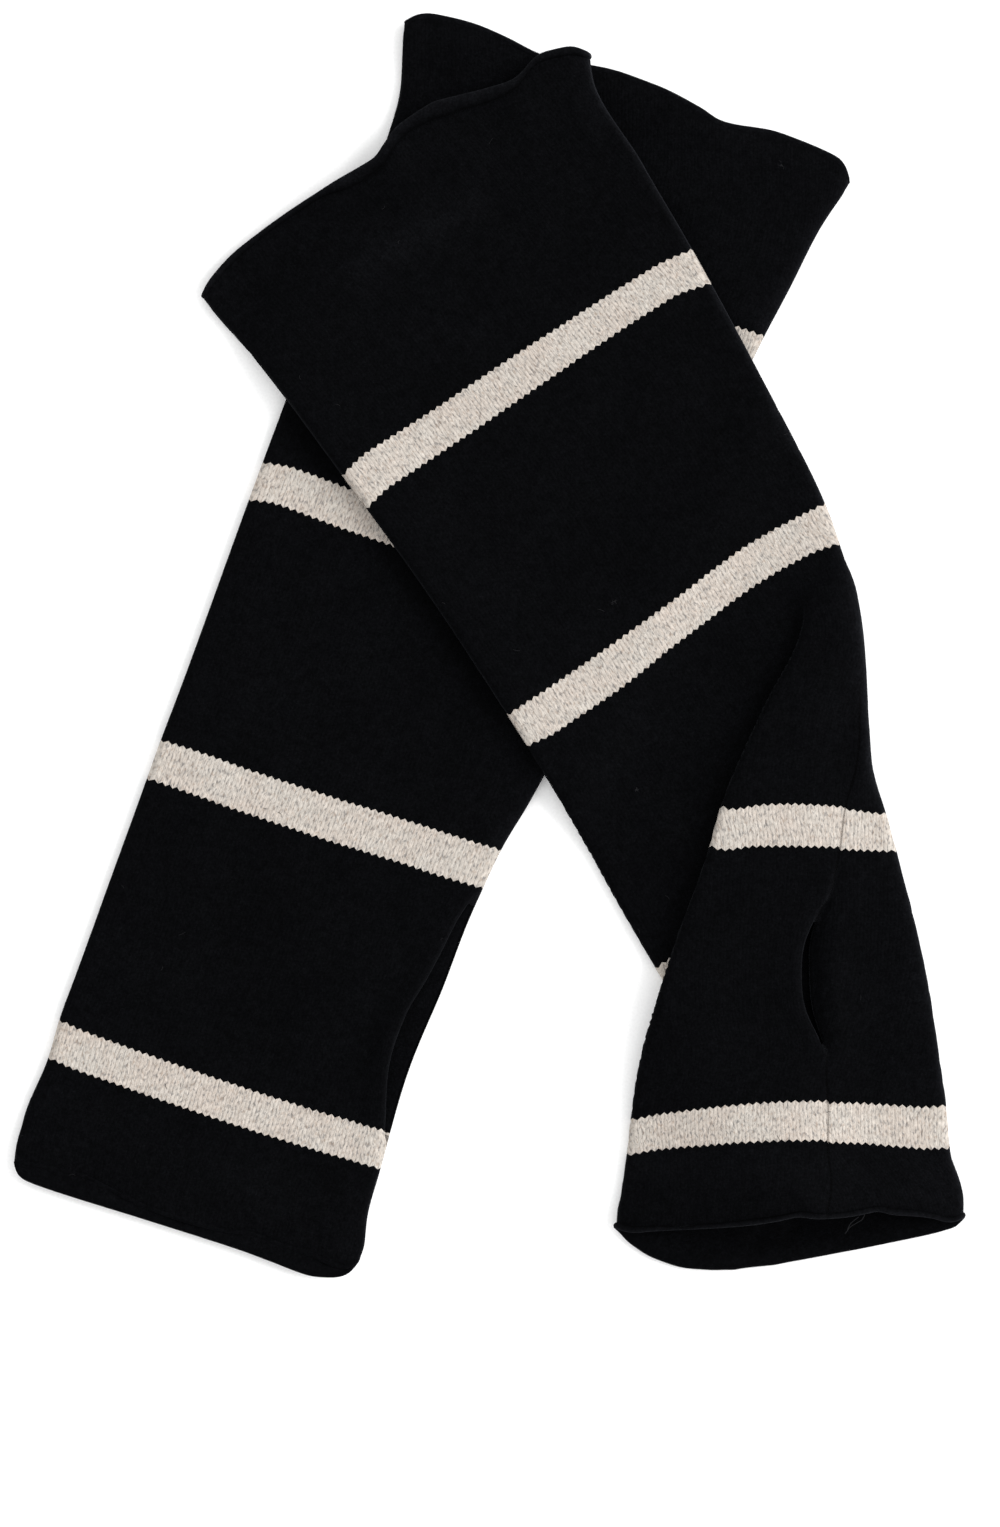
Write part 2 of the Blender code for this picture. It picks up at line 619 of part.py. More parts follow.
def walled_mesh(name, grid, normals, swelling, slit_rows, cream_rows):
    """A closed wall from its middle surface: outer and inner points, both ends and the slit's edge."""
    rows, columns = grid.shape[:2]
    outer = grid + normals * (HALF_WALL + swelling)[:, None, None]
    inner = grid - normals * HALF_WALL
    points = np.vstack((outer.reshape(-1, 3), inner.reshape(-1, 3))) * MM
    inside = rows * columns

    def at(i, j):
        return i * columns + j % columns

    faces, shades = [], []
    for i in range(rows - 1):
        shade = 1 if i in cream_rows else 0
        for j in range(columns):
            if j == columns - 1 and i in slit_rows:
                continue
            a, b, c, d = at(i, j), at(i, j + 1), at(i + 1, j + 1), at(i + 1, j)
            faces += [(a, d, c, b), (inside + a, inside + b, inside + c, inside + d)]
            shades += [shade, shade]
    for j in range(columns):
        first, last = (at(0, j), at(0, j + 1)), (at(rows - 1, j), at(rows - 1, j + 1))
        faces.append((first[0], first[1], inside + first[1], inside + first[0]))
        faces.append((last[1], last[0], inside + last[0], inside + last[1]))
        shades += [0, 0]
    for i in slit_rows:
        lip, far = columns - 1, 0
        faces.append((at(i, lip), at(i + 1, lip), inside + at(i + 1, lip), inside + at(i, lip)))
        faces.append((at(i, far), inside + at(i, far), inside + at(i + 1, far), at(i + 1, far)))
        shades += [0, 0]
    start, end = slit_rows[0], slit_rows[-1] + 1
    lip, far = columns - 1, 0
    faces.append((at(start, far), at(start, lip), inside + at(start, lip), inside + at(start, far)))
    faces.append((at(end, lip), at(end, far), inside + at(end, far), inside + at(end, lip)))
    shades += [0, 0]
    mesh = bpy.data.meshes.new(name)
    mesh.from_pydata(points.tolist(), [], faces)
    mesh.polygons.foreach_set("material_index", shades)
    mesh.update()
    return mesh


def material(name, colour):
    """A plain matt cloth colour."""
    made = bpy.data.materials.new(name)
    made.use_nodes = True
    shader = made.node_tree.nodes["Principled BSDF"]
    shader.inputs["Base Color"].default_value = colour
    shader.inputs["Roughness"].default_value = KNIT_ROUGHNESS
    shader.inputs["Metallic"].default_value = 0.0
    return made


def swelling_at(glove, places):
    """The wall's extra thickness outwards in the rolled edges, by the distance from the end."""
    return line_between(ROLL_PROFILE, np.minimum(places, glove.length - places))


def rows_within(places, start, end):
    """The rows of cells that begin between two places along a glove."""
    return [i for i, place in enumerate(places[:-1]) if start <= place < end]


def build_glove(name, glove, ring_at, folds, inner_counts):
    """Builds one glove as a closed wall. ring_at gives the ring and its folds' marks at a place."""
    places = row_places(glove)
    seam_back = line_between(glove.seam, places)
    rings = [
        read_ring(*ring_at(along), folds, inner_counts, float(back))
        for along, back in zip(places, seam_back)
    ]
    grid = np.array(rings)
    normals = normals_of(grid)
    grid = opened_slit(glove, grid, places)
    slit_rows = rows_within(places, glove.slit[0][0], glove.slit[-1][0])
    cream_rows = set()
    for start in glove.stripes:
        cream_rows |= set(rows_within(places, start, start + STRIPE_WIDTH))
    mesh = walled_mesh(name, grid, normals, swelling_at(glove, places), slit_rows, cream_rows)
    mesh.materials.append(material(name + "_charcoal", CHARCOAL))
    mesh.materials.append(material(name + "_oatmeal", OATMEAL))
    mesh.shade_smooth()
    bpy.context.scene.collection.objects.link(bpy.data.objects.new(name, mesh))


def main():
    """Builds both gloves in an empty scene."""
    for old in list(bpy.data.objects):
        bpy.data.objects.remove(old, do_unlink=True)
    lower, upper = lower_glove(), upper_glove()

    def lower_ring_at(along):
        return lower_ring(lower, along)

    def upper_ring_at(along):
        return upper_ring(upper, along, lower)

    build_glove("lower_glove", lower, lower_ring_at, LOWER_FOLDS, LOWER_BETWEEN)
    build_glove("upper_glove", upper, upper_ring_at, UPPER_FOLDS, UPPER_BETWEEN)


main()
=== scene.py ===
"""The looks of a pair of long knitted fingerless gloves, laid flat on a table and crossed.

Each glove is one panel of fine stockinette, folded along its left edge and sewn into a tube along
its thumb side, with a slit left in the seam for the thumb. Both raw ends curl outwards into rolled
edges. The shells follow the solids' own tables at a finer step, and carry stitch coordinates, from
which the materials draw every stitch, stripe and fleck. Sizes are in millimetres of the laid pair:
x to the right, y away from the wearer's hands, z up.
"""

import math
from collections import namedtuple
from functools import partial

import bpy
import numpy as np
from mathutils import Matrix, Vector
from mathutils.bvhtree import BVHTree


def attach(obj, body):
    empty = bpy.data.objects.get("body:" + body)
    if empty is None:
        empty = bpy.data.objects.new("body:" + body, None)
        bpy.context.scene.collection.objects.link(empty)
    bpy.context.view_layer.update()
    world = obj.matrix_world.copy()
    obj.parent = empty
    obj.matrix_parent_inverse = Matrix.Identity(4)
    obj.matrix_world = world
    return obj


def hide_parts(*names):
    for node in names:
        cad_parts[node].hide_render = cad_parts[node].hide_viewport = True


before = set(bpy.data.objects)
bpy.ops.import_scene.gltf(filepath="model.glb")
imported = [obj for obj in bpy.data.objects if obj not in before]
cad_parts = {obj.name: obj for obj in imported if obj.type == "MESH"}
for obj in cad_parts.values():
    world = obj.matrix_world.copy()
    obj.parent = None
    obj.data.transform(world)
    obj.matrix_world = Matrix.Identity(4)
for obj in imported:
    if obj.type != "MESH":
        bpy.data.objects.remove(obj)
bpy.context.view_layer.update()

MM = 0.001

# The photo: its size, what a pixel of it measures, and the pixel that lies over the frame's origin
PHOTO_WIDTH, PHOTO_HEIGHT = 1000, 1527
PIXEL = 0.27
ORIGIN_COLUMN, ORIGIN_ROW = 486.5, 646.0

# The knit: the width of a stitch, how many courses a stripe has, how many there are from one
# stripe's edge to the next one's, and how high a course is elsewhere
WALE = 2.1
STRIPE_COURSES = 8
STRIPE_PITCH = 55
COURSE_HEIGHT = 1.45

# The courses step by this much where the panel's two edges meet in the seam
SEAM_STEP = 0.35

# The cloth as seen: its wall, the air between two layers, and how far the ends hold it off the table
WALL = 1.5
LAYER_AIR = 0.5
LAYER_PITCH = WALL + LAYER_AIR
HALF_WALL = WALL / 2
ROLL_SWELL = 1.0
ROLL_WIDTH = 3.2
END_SLOPE = 12.0

# The rolled edges: half of a roll's size along the cloth and across it, half of the wall in it, how
# much highlight is painted on it where it has turned so far, the most shade that is painted where it
# looks back in, and how large it is by the share of the way across what shows
Roll = namedtuple("Roll", "along across half rubbed pressed sizes")
# The turn of a roll at which its painted highlight is fullest
ROLL_LIT_AT = math.radians(115)
EVEN_ROLL = ((0, 1), (1, 1))
UPPER_ELBOW_SIZES = (
    (0, 0.5), (0.08, 0.4), (0.33, 0.4), (0.42, 1.1), (0.6, 1.3), (0.75, 1.15), (0.86, 0.6),
    (1, 0.6),
)
LOWER_ROLLS = (
    Roll(0.5, 0.15, 0.3, 1.0, -0.5, EVEN_ROLL),
    Roll(0.35, 0.15, 0.3, 0.0, 0.0, EVEN_ROLL),
)
UPPER_ROLLS = (
    Roll(1.35, 0.6, 0.45, 1.0, 0.75, UPPER_ELBOW_SIZES),
    Roll(0.5, 0.36, 0.38, 1.1, 0.75, EVEN_ROLL),
)

# How far round a roll turns, in how many steps, how far at each, and how soon the wall thins
ROLL_TURN = math.radians(315)
ROLL_STEPS = 9
ROLL_TURNS = ROLL_TURN * np.arange(1, ROLL_STEPS + 1) / ROLL_STEPS
ROLL_THINS_OVER = 4.0

# A roll is flattened to this share at a fold and full this far from it, and is uneven on its way
# round: waves of so many millimetres, so much larger or smaller, starting at so many radians
ROLL_AT_FOLD, ROLL_FULL_FROM = 0.3, 7.0
Wave = namedtuple("Wave", "length amount start")
ROLL_WAVES = (Wave(41.0, 0.14, 0.4), Wave(17.0, 0.08, 2.1), Wave(7.3, 0.03, 4.0))

# How the ring round a section is drawn: its step, how softly its folds turn, and how far the turn
# draws the fold in from the line that it is drawn through
RING_STEP = 0.5
FOLD_SOFTENING = 8
FOLD_INSET = 0.35

# The shells' rows and columns
ROW_STEP = 1.75
COLUMNS = 224

# Points along a glove that its outline on the table is drawn through
OUTLINE_POINTS = 60

# Where the upper glove climbs over the lower one it clears it by this, stays up this far past its
# edge and is down at the slope's end. The lower glove's rolled end, this far outside the straight
# line between its corners, lifts it a little more
OVER_CLEARANCE = 0.15
LOWER_THICKNESS = 2 * WALL + LAYER_AIR
OVER_PLATEAU = 4.5
OVER_SLOPE = 20.0
HEM_OUTSIDE = 5.0
HEM_PLATEAU = 8.5

# The stripes: their width, and how far the upper edge of each is from the elbow end's corners
STRIPE_WIDTH = 10.8
LOWER_STRIPES = (48.4, 128.6, 208.6, 288.6)
UPPER_STRIPES = (60.0, 138.3, 219.3, 297.5)

# One row for each place along a glove: how far along the cloth it is, and x and y on the table of
# its left fold and of its right edge
LOWER_SECTIONS = (
    (0, -22.5, 168.5, 98.4, 124.7), (15.4, -22.8, 152.8, 90, 112.3),
    (33.4, -27.4, 135.3, 81.9, 96.4), (48.4, -33.1, 121.5, 74.9, 83.2),
    (128.6, -60.4, 49.4, 41.4, 14.9), (192.6, -82.2, -10.6, 12, -41.6),
    (208.6, -87.8, -25.4, 3.9, -55.3), (228, -94.5, -44, -4.5, -74),
    (247.6, -101.2, -62.4, -11.6, -92.9), (269.8, -108.7, -83.2, -20.2, -113.4),
    (288.6, -115.2, -101, -25.9, -131.5), (300.2, -118.4, -111.8, -28.8, -142),
    (314, -123.5, -123.9, -32.3, -155), (327, -127.8, -138.8, -33.6, -166.3),
)

UPPER_SECTIONS = (
    (0, -77.1, 94.5, 28.3, 159.2), (5, -73.9, 90.7, 28.5, 154), (28, -59, 73.2, 41.7, 130.1),
    (60, -38.6, 45.8, 55.5, 106.4), (97, -17, 16, 73, 74.1), (138.3, 5.8, -18.6, 91.3, 38.1),
    (149.9, 11.3, -27.5, 95.4, 26.5), (163.4, 18.6, -39.4, 100, 12.4),
    (176, 25.2, -50.8, 101.7, -1.1), (203, 38.2, -74, 103.5, -30.8),
    (219.3, 45.8, -86.9, 107.6, -45.1), (256.5, 64.4, -119.3, 116.8, -80.7),
    (270, 70.9, -130.7, 119.7, -95.6), (285.4, 78.2, -141.5, 121.9, -110.7),
    (297.5, 82.8, -146.9, 123.8, -123.7), (309.2, 81.9, -153, 124.9, -136.1),
    (321, 79.5, -160.9, 128.3, -148.5), (329.7, 77.1, -166.3, 128.8, -156),
)

# The upper glove's pleat, in the same way: its under fold, which runs down beneath the hand, and its
# over fold, which shows
PLEAT_ROWS = (
    (152, 82.8, 15.4, 87.6, 18.6), (160.5, 86.3, 8.6, 86.3, 8.6), (168.6, 86, -0.8, 84.4, 1.6),
    (189, 84.6, -25.1, 74.9, -16.2), (219.3, 82.8, -61.3, 63, -43.7),
    (231, 81.9, -75.1, 59.8, -55.1), (256.5, 80.3, -105.8, 50.4, -81.3),
    (270, 79.5, -122, 45.5, -96.4), (285.4, 78.2, -141.5, 40.9, -114.5),
    (297.5, 76.8, -146.9, 39, -128), (309.2, 75.5, -153, 37.9, -138.2),
    (321, 70.6, -160.9, 36, -149.6), (329.7, 66.3, -167.4, 34.7, -157.1),
)
# Along the glove: the pleat begins to rise, stands up, lies over, and ends where its under fold
# meets the glove's left edge and both run out into the palm's own layer
PLEAT_STARTS, PLEAT_STANDS, PLEAT_LIES = 152.0, 160.5, 189.0
PLEAT_MERGES = 285.4

# Before the pleat begins its two folds are only lines on the cloth, this far from the right edge
PLEAT_FROM_RIGHT = (16.5, 10.5)

# The layers under the pleat lie between these two lines, which meet at the foot. They lift what
# lies over them out to this far past the lines and the foot
TUCK_LEFT_HEAD, TUCK_RIGHT_HEAD, TUCK_FOOT = (11.7, -27.5), (86.3, 8.6), (78.2, -141.5)
TUCK_PLATEAU = 1.0
TUCK_SLOPE = 26.0

# How far the ends of the cloth reach past the straight line between their corners: the share of the
# way across, then the reach of the upper layer and that of the under one. It fades away over these
# lengths of the cloth
LOWER_ELBOW = (
    (0, 0, 0), (0.02, 3, 2), (0.053, 4.7, 3.4), (0.153, 5.9, 4.4), (0.215, 5.4, 4),
    (0.294, 4.2, 2.8), (0.475, 7.1, 5.2), (0.547, 7, 5.2), (0.655, 5.2, 3.6), (0.697, 3.8, 2.4),
    (0.826, 6.3, 4.6), (0.896, 6.1, 4.4), (0.958, 5.4, 3.8), (0.984, 3.3, 2), (1, 0, 0),
)
LOWER_HAND = (
    (0, 0, 0), (0.012, 0.3, 2.8), (0.035, 0.2, 4.2), (0.08, 0.1, 4.7), (0.20, -0.7, 5.1),
    (0.28, 0.6, 5.2), (0.37, 2.3, 5.3), (0.50, 3.1, 5.5), (0.61, 2.7, 5.8), (0.69, 1.3, 6.1),
    (0.77, 1.8, 6.7), (0.87, 2.4, 7.4), (0.935, 3.2, 6.2), (0.98, 2.6, 3.8), (1, -2, -2),
)
UPPER_ELBOW = (
    (0, 0, 0), (0.026, 2.1, 1.4), (0.127, 5.5, 3.8), (0.288, 6.9, 5.2), (0.391, 7, 5.2),
    (0.478, 6.8, 5), (0.514, 8.8, 6.6), (0.565, 11.1, 8.4), (0.643, 11.5, 8.8), (0.699, 9.8, 7.4),
    (0.774, 6.9, 5), (0.829, 5.2, 3.6), (0.904, 7.4, 5), (0.938, 6.4, 4.2), (0.981, 4.2, 2.6),
    (1, 0.6, 0.6),
)
UPPER_HAND = (
    (0, 0, 0), (0.025, 0.8, 2.4), (0.055, 1.2, 3.6), (0.10, 0.8, 4.8), (0.165, 0.5, 5),
    (0.26, 0.1, 3.2), (0.36, -0.6, 0.6), (0.48, -2.2, 0.5), (0.525, -3.1, 0.6), (0.58, -2.3, 0.7),
    (0.655, -2.6, 0.8), (0.71, -3.3, 0.9), (0.755, -4.1, 0.9), (0.79, -3.1, 0.9), (0.85, -2.7, 0.9),
    (0.915, -1.9, 0.8), (0.955, -0.8, 0.5), (0.985, -0.9, 0.2), (1, -2.2, -1.8),
)
ELBOW_FADE, HAND_FADE = 46.0, 22.0

# How far the upper layer's rows bow towards the elbow at mid-width, along the upper glove
UPPER_BOW = (
    (0, 0), (200, 0), (219.3, 1.6), (231, 0.4), (297.5, 3.4), (309.2, 3.4), (329.7, 0),
)

# The seam: its distance from the right edge, measured on the upper layer, along each glove, and the
# gap across it between a shell's first column and its last
LOWER_SEAM = ((0, 0), (327, 0))
UPPER_SEAM = (
    (0, -1.5), (60, -1.5), (100, -1.5), (138.3, -1.3), (149.9, -0.9), (163.4, 0.2), (172, 1.1),
    (183.6, 2.5), (204, 5.2), (220, 11.9), (230, 15.5), (239.6, 19.8), (244.3, 22.4), (250, 26),
    (260, 30.2), (273, 32), (283, 30.8), (294, 32.1), (303.5, 33), (329.7, 39.5),
)
SEAM_SPACING = 0.5

# The thumb slit: the shares of its width that the upper layer's lip and the far lip draw back by, how
# much the first one rises with that, how far the other one is turned under beside it, and, along
# the glove, how wide the slit stands and how deep the far side slopes down to it
Slit = namedtuple("Slit", "upper_share far_share lift far_turn widths dip")
LOWER_WIDTHS = (
    (220, 0), (229, 2.3), (237, 3.2), (247.3, 4.7), (256.4, 6), (264.8, 5.8), (271.8, 5),
    (278.2, 3.5), (284, 1.8), (288, 0.8), (292, 0),
)
UPPER_WIDTHS = (
    (245, 0), (250, 0.6), (256, 1.9), (262.5, 3), (269, 3.3), (275, 2.6), (280, 1.3), (285, 0),
)
LOWER_DIP = ((0, 0), (327, 0))
UPPER_DIP = ((234, 0), (247, 1.2), (265, 2.6), (279, 1.2), (290, 0))
LOWER_SLIT = Slit(1.0, 0.0, 0.09, 0.0, LOWER_WIDTHS, LOWER_DIP)
UPPER_SLIT = Slit(0.78, -0.12, 0.3, 1.0, UPPER_WIDTHS, UPPER_DIP)

# How far from a lip the cloth still follows it, the width from which the lips stand apart, how soon
# the slit's look begins at its ends, and how wide the far side's slope is
SLIT_FALLOFF = 14.0
SLIT_PARTS = 0.75
SLIT_ENDS = 2.0
DIP_WIDTH = 6.0

# Each lip's column, and the one behind it that it draws back towards
UPPER_LIP, FAR_LIP = (-1, -9), (0, 8)

# The open hand end of the upper glove, and the slack one of the lower: how high the upper lip stands,
# how far into the glove, and how full its arch is, less being fuller
UPPER_MOUTH, LOWER_MOUTH = 6.8, 0.1
MOUTH_DEPTH = 42.0
MOUTH_FULLNESS = 0.9

# The lower glove's under layer rises to the upper one's end where it reaches out past it: how far,
# and from where to where past that end
HEM_RISE, HEM_RISE_STARTS, HEM_RISE_ENDS = 2.0, -2.4, 0.8

# Soft folds pressed up in the upper layer, or down below 0: x and y on the table of the start and of
# the end, where each has lost this share of its height, then its width and its height
CREASE_LOSS = 0.7
CREASES = {
    "lower": (
        (-6, 163, -8, 153, 4.5, 0.7), (62, 139, 56, 120, 5.5, 1), (-50, -154, -58, -140, 6, 0.8),
        (-24, -108, -34, -126, 5, 0.8), (50, 141, 70, 136, 4, 0.8), (84, 131, 80, 118, 4.5, 0.6),
        (-112, -126, -60, -146, 4.5, 0.9), (-40, -158, -48, -150, 4, 0.7),
        (-30, -126, -33, -140, 3, 0.8),
    ),
    "upper": (
        (-27, 133, -13, 104, 5, 1.3), (-40, 117, -18, 97, 5.5, 0.9), (8, 146, 12, 122, 5, 0.9),
        (102.5, -24, 100, -38, 4, 1.2), (93, 16, 96, -10, 5, 0.8), (-34, 101, 4, 124, 4, 1.5),
        (-36, 118, -14, 128, 4.5, -0.4), (24, 150, 30, 128, 4, 0.5), (103, -24, 101, -38, 2.5, 0.9),
    ),
}

# The pleat's over fold springs up a little, and the upper glove's left fold stands off the lower
# glove that it crosses: how high and how wide, and where along the glove each starts, is full, eases
# and ends
PLEAT_SPRING, PLEAT_PLACES = (1.7, 34.0), (162.0, 195.0, 280.0, 318.0)
FOLD_SPRING, FOLD_PLACES = (1.7, 26.0), (16.0, 42.0, 136.0, 166.0)

# Strokes painted into the cloth's colour, lighter, or darker below 0: painted highlights on ridges and
# on edges that face the light, painted light over shadowed places, painted shade beside the folds, and
# lighter or darker nap; x and y on the table of the start and of the end, the width and how much
LIGHT_AND_NAP_STROKES = {
    "lower": (
        (66, 132, 84, 104, 14, 0.1), (97, 126, 75, 86, 2.4, 0.6), (14.2, -35.6, 2, -55, 2.6, 0.35),
        (-26, 136, 12, 158, 5, 0.4), (-27, 27, 3, -16, 4, -0.22), (-55, 62, -41, 45, 3.5, -0.22),
        (50, 146, 66, 141, 3, -0.16), (62, 139, 76, 133, 3, 0.12), (-62, -70, -50, -105, 14, -0.12),
        (-72, -141, -55, -152, 5, 0.13), (-48, -139, -36, -148, 4, -0.13),
        (-35, -146, -37, -163, 3.6, 0.22), (-113, -122, -100, -130, 7, 0.08),
    ),
    "upper": (
        (-35.2, 101, -3, 119.3, 4.3, 0.5), (-38.5, 117.5, -11.5, 129.3, 3.5, -0.14),
        (24.7, 156, 30.6, 138.5, 3, 0.25), (-76, 96, -72, 99, 3, 0.35),
        (55.5, 106.4, 91.3, 38.1, 2, 0.3), (94, 34, 101.5, 4, 3.2, 0.5),
        (101.5, 4, 103.5, -30.8, 3, 0.55), (104.5, -35, 123.8, -123, 2.2, 0.3),
        (111, -60, 117.5, -118, 8, 0.12), (46, -139, 84, -140, 7, 0.2),
        (66, -162, 116, -158, 3.5, -0.2), (108, -136, 122, -142, 7, 0.15),
        (40, 30, 74, 52, 14, -0.05),
    ),
}
# A highlight painted along the slit's upper lip, in the same way: how much and how wide
LIP_HIGHLIGHT, LIP_HIGHLIGHT_WIDTH = 0.12, 1.6

# Where the cloth turns down to the right, towards the key, a highlight is painted into its colour and
# its sheen:
# how much, how far to the right the cloth has to face, and how much of it the slit's lips lack
RIM_HIGHLIGHT, RIM_STARTS, RIM_FULL = 1.4, 0.12, 0.95
LIP_DULLED = 0.65

# The seam: how deep its groove is and how far it spreads, the same for the lips turned under, and
# how much of the wall's thickness is lost in them
SEAM_GROOVE, SEAM_SPREAD = 0.22, 0.6
LIP_TURN, LIP_SPREAD = 1.0, 1.4
LIP_THINNING = 0.45

# How far the knit's rows are drawn towards the elbow on the side that shows: how far along the
# cloth, then the bend at these shares of the way across; at both folds it is 0
BEND_SHARES = (0.08, 0.25, 0.5, 0.75, 0.9)
LOWER_BENDS = (
    (0, 0, 0, 0, 0, 0), (60, 0, 0, 0, 0, 0), (134, 1.3, 0.7, 0.5, 0.2, 0),
    (214, 0, -0.4, -0.6, -0.3, -0.3), (294, -0.7, -1.1, -1.35, -1, -0.4), (327, 0, 0, 0, 0, 0),
)
UPPER_BENDS = (
    (0, 0, 0, 0, 0, 0), (60, 1.6, 1.6, 2.1, 2.2, 1.9), (70.8, 1.6, 1.7, 2.2, 2.9, 2.6),
    (138.3, -0.1, 0, 0.9, 2.4, 1.2), (149.1, -1.2, -0.9, 1.5, 2.9, 2.2), (160.5, 0, 0, 0, 0, 0),
    (205, 0, 0, 0, 0, 0), (224, -0.9, 0, 0, 0, 0), (302, 0.4, -0.1, -0.6, -0.8, -0.9),
    (329.7, 0, 0, 0, 0, 0),
)

# A loose end of yarn in the upper glove's mouth: pixels of the photo and heights, by strand,
# with its radius and the steps that it takes for each of them
THREAD_STRANDS = (
    ((864, 1212, 7.6), (861, 1218, 7.2), (855, 1222, 6.6), (849, 1226, 6), (844, 1233, 5.4)),
    ((858, 1215, 7.5), (853, 1219, 7), (849, 1223, 6.6), (846, 1230, 6.1)),
)
THREAD_RADIUS, THREAD_STEPS = 0.15, 4

# Lint on the cloth: the pixels of the photo that it lies at, and the number of finer fibres strewn
# over each glove, with their length; then a fibre's radius, how many points it has, how far it bends
# at most, in radians, and the height in metres that it is let down on the cloth from
LINT_SPECKS = {"lower": ((781, 166),), "upper": ((614, 603), (637, 790))}
LINT_SEEDS = {"lower": 3, "upper": 8}
SPECK_FIBRES, SPECK_SIZE = 7, 0.9
STREWN_FIBRES, STREWN_LENGTH = 16, (0.8, 2.2)
FIBRE_RADIUS, FIBRE_POINTS, FIBRE_BEND = 0.05, 7, 1.4
WELL_ABOVE = 1.0

# Threads and fibres are tubes with so many sides, drawn in to this share of their width at the tips.
# None of them runs along OFF_STRANDS, which their sides are squared to
TUBE_SIDES, TIP_SHARE = 5, 0.5
OFF_STRANDS = (0.3, 0.2, 1.0)

# Names of what the shells carry for the materials; the last is the painted light and nap that lighten
# or darken the cloth's colour
STITCH_MAP, SEAM_DISTANCE, NAP_AND_LIGHT_ATTRIBUTE = "stitches", "seam_distance", "rubbed"

# The stitches: how far the legs slant, as a share of a course, how deep the relief is, how much of
# it shows in each yarn, and how it is rounded, the second way less deeply
STITCH_SLANT = 0.55
STITCH_DEPTH = 0.3
DARK_RELIEF, CREAM_RELIEF = 0.22, 0.36
LEG_ROUNDING, ARC_ROUNDING = 0.6, 0.7
SECOND_ROUNDING, SECOND_DEPTH = 0.5, 0.4

# How uneven the rows are, in stitches, and the layers of the noise that the second wobble and the
# stitches' tones are drawn from
WOBBLE_SCALE = 0.22
WOBBLE_ACROSS, WOBBLE_ALONG = 0.16, 0.12
WOBBLE_APART, TONE_LAYER = 4.0, 0.5

# Loose fibres and spun yarn: their grain by the metre, and by the stitch across and along, how fine
# and how rough the noise is, and how much of it shows in the relief
FUZZ_SCALE, FINE_FUZZ_SCALE, MOTTLE_SCALE, PATCH_SCALE = 1500.0, 4200.0, 480.0, 75.0
STREAKS_ACROSS, STREAKS_ALONG = 3.6, 0.9
STREAK_DETAIL, ROUGH = 3.0, 0.6
CLOUD_SCALE = 130.0
FUZZ_RELIEF, FIBRE_RELIEF = 0.55, 0.25

# The colours, and where in their noise the lighter fibres and the warmer oatmeal show
CHARCOAL, CHARCOAL_FIBRE = (0.00120, 0.00126, 0.00154, 1.0), (0.0046, 0.0048, 0.0057, 1.0)
FIBRE_BAND, FIBRE_STRENGTH = (0.56, 0.76), 0.5
OATMEAL, OATMEAL_WARM = (0.420, 0.388, 0.350, 1.0), (0.418, 0.372, 0.330, 1.0)
CLOUD_BAND = (0.35, 0.65)
THREAD_COLOUR, LINT_COLOUR = (0.011, 0.011, 0.012, 1.0), (0.015, 0.015, 0.0165, 1.0)

# The grey and the brown flecks: the layer of noise that each is drawn from, where in it a fleck
# starts and is full, and how strong it is
Fleck = namedtuple("Fleck", "layer starts full strength colour")
FLECKS = (
    Fleck(17.0, 0.51, 0.67, 0.8, (0.145, 0.138, 0.136, 1.0)),
    Fleck(39.0, 0.54, 0.70, 0.6, (0.235, 0.172, 0.13, 1.0)),
)

# How each value darkens and lightens a yarn: its own range, and the shares that its ends stand for; the
# relief's tone is painted shade in the stitches' hollows
NOISE_BAND, RELIEF_BAND, WHOLE_BAND = (0.30, 0.70), (0.0, 0.8), (0.0, 1.0)
OATMEAL_TONES = {
    "streaks": (*NOISE_BAND, 0.84, 1.15),
    "mottle": (*NOISE_BAND, 0.92, 1.06),
    "stitch": (*WHOLE_BAND, 0.93, 1.05),
    "relief": (*RELIEF_BAND, 0.86, 1.0),
}
CHARCOAL_TONES = {
    "fuzz": (*NOISE_BAND, 0.64, 1.42),
    "mottle": (*NOISE_BAND, 0.78, 1.22),
    "patches": (*NOISE_BAND, 0.88, 1.12),
    "stitch": (*WHOLE_BAND, 0.94, 1.06),
    "relief": (*RELIEF_BAND, 0.90, 1.03),
}
PLAIN_TONES = {"grain": (*NOISE_BAND, 0.96, 1.02)}

# The seam: how wide its line of thread is, on either side, how much of it shows in the stripes and
# where a stitch is faintest, and how dark it leaves each colour
SEAM_LINE, CREAM_SEAM, SEAM_FAINTEST = 0.55, 0.5, 0.75
SEAM_TINT = (0.34, 0.29, 0.26, 1.0)

# The surfaces' shine, and the sheen of the knit's loose fibres
SPECULAR, KNIT_ROUGHNESS, MATT = 0.012, 0.85, 0.9
SHEEN, SHEEN_ROUGHNESS = 0.014, 0.45
SHEEN_TINT = (0.82, 0.86, 1.0, 1.0)

# The table top, a hair below the gloves, and the camera above it, in metres, with its sensor
FLOOR_WHITE = (0.97, 0.97, 0.97, 1.0)
FLOOR_SIZE, FLOOR_DROP = 6.0, 0.0002
CAMERA_HEIGHT, SENSOR = 2.4, 24.0
SEES_AS_FAR_AS = 2.0 * CAMERA_HEIGHT + 10.0

# The light: where the key comes from, how strong and how broad it is, and the even fill
KEY_FROM = (0.95, 0.20, 0.60)
KEY_STRENGTH, KEY_SPREAD = 3.1, math.radians(45)
FILL_STRENGTH, FILL_WHITE = 1.25, (1.0, 1.0, 1.0, 1.0)

# A length that is as good as none
NEXT_TO_NONE = 1e-12


def ramp(value, start, end):
    """From 0 at start to 1 at end, with a soft foot and a soft head."""
    share = np.clip((np.asarray(value, float) - start) / (end - start), 0.0, 1.0)
    return share * share * (3.0 - 2.0 * share)


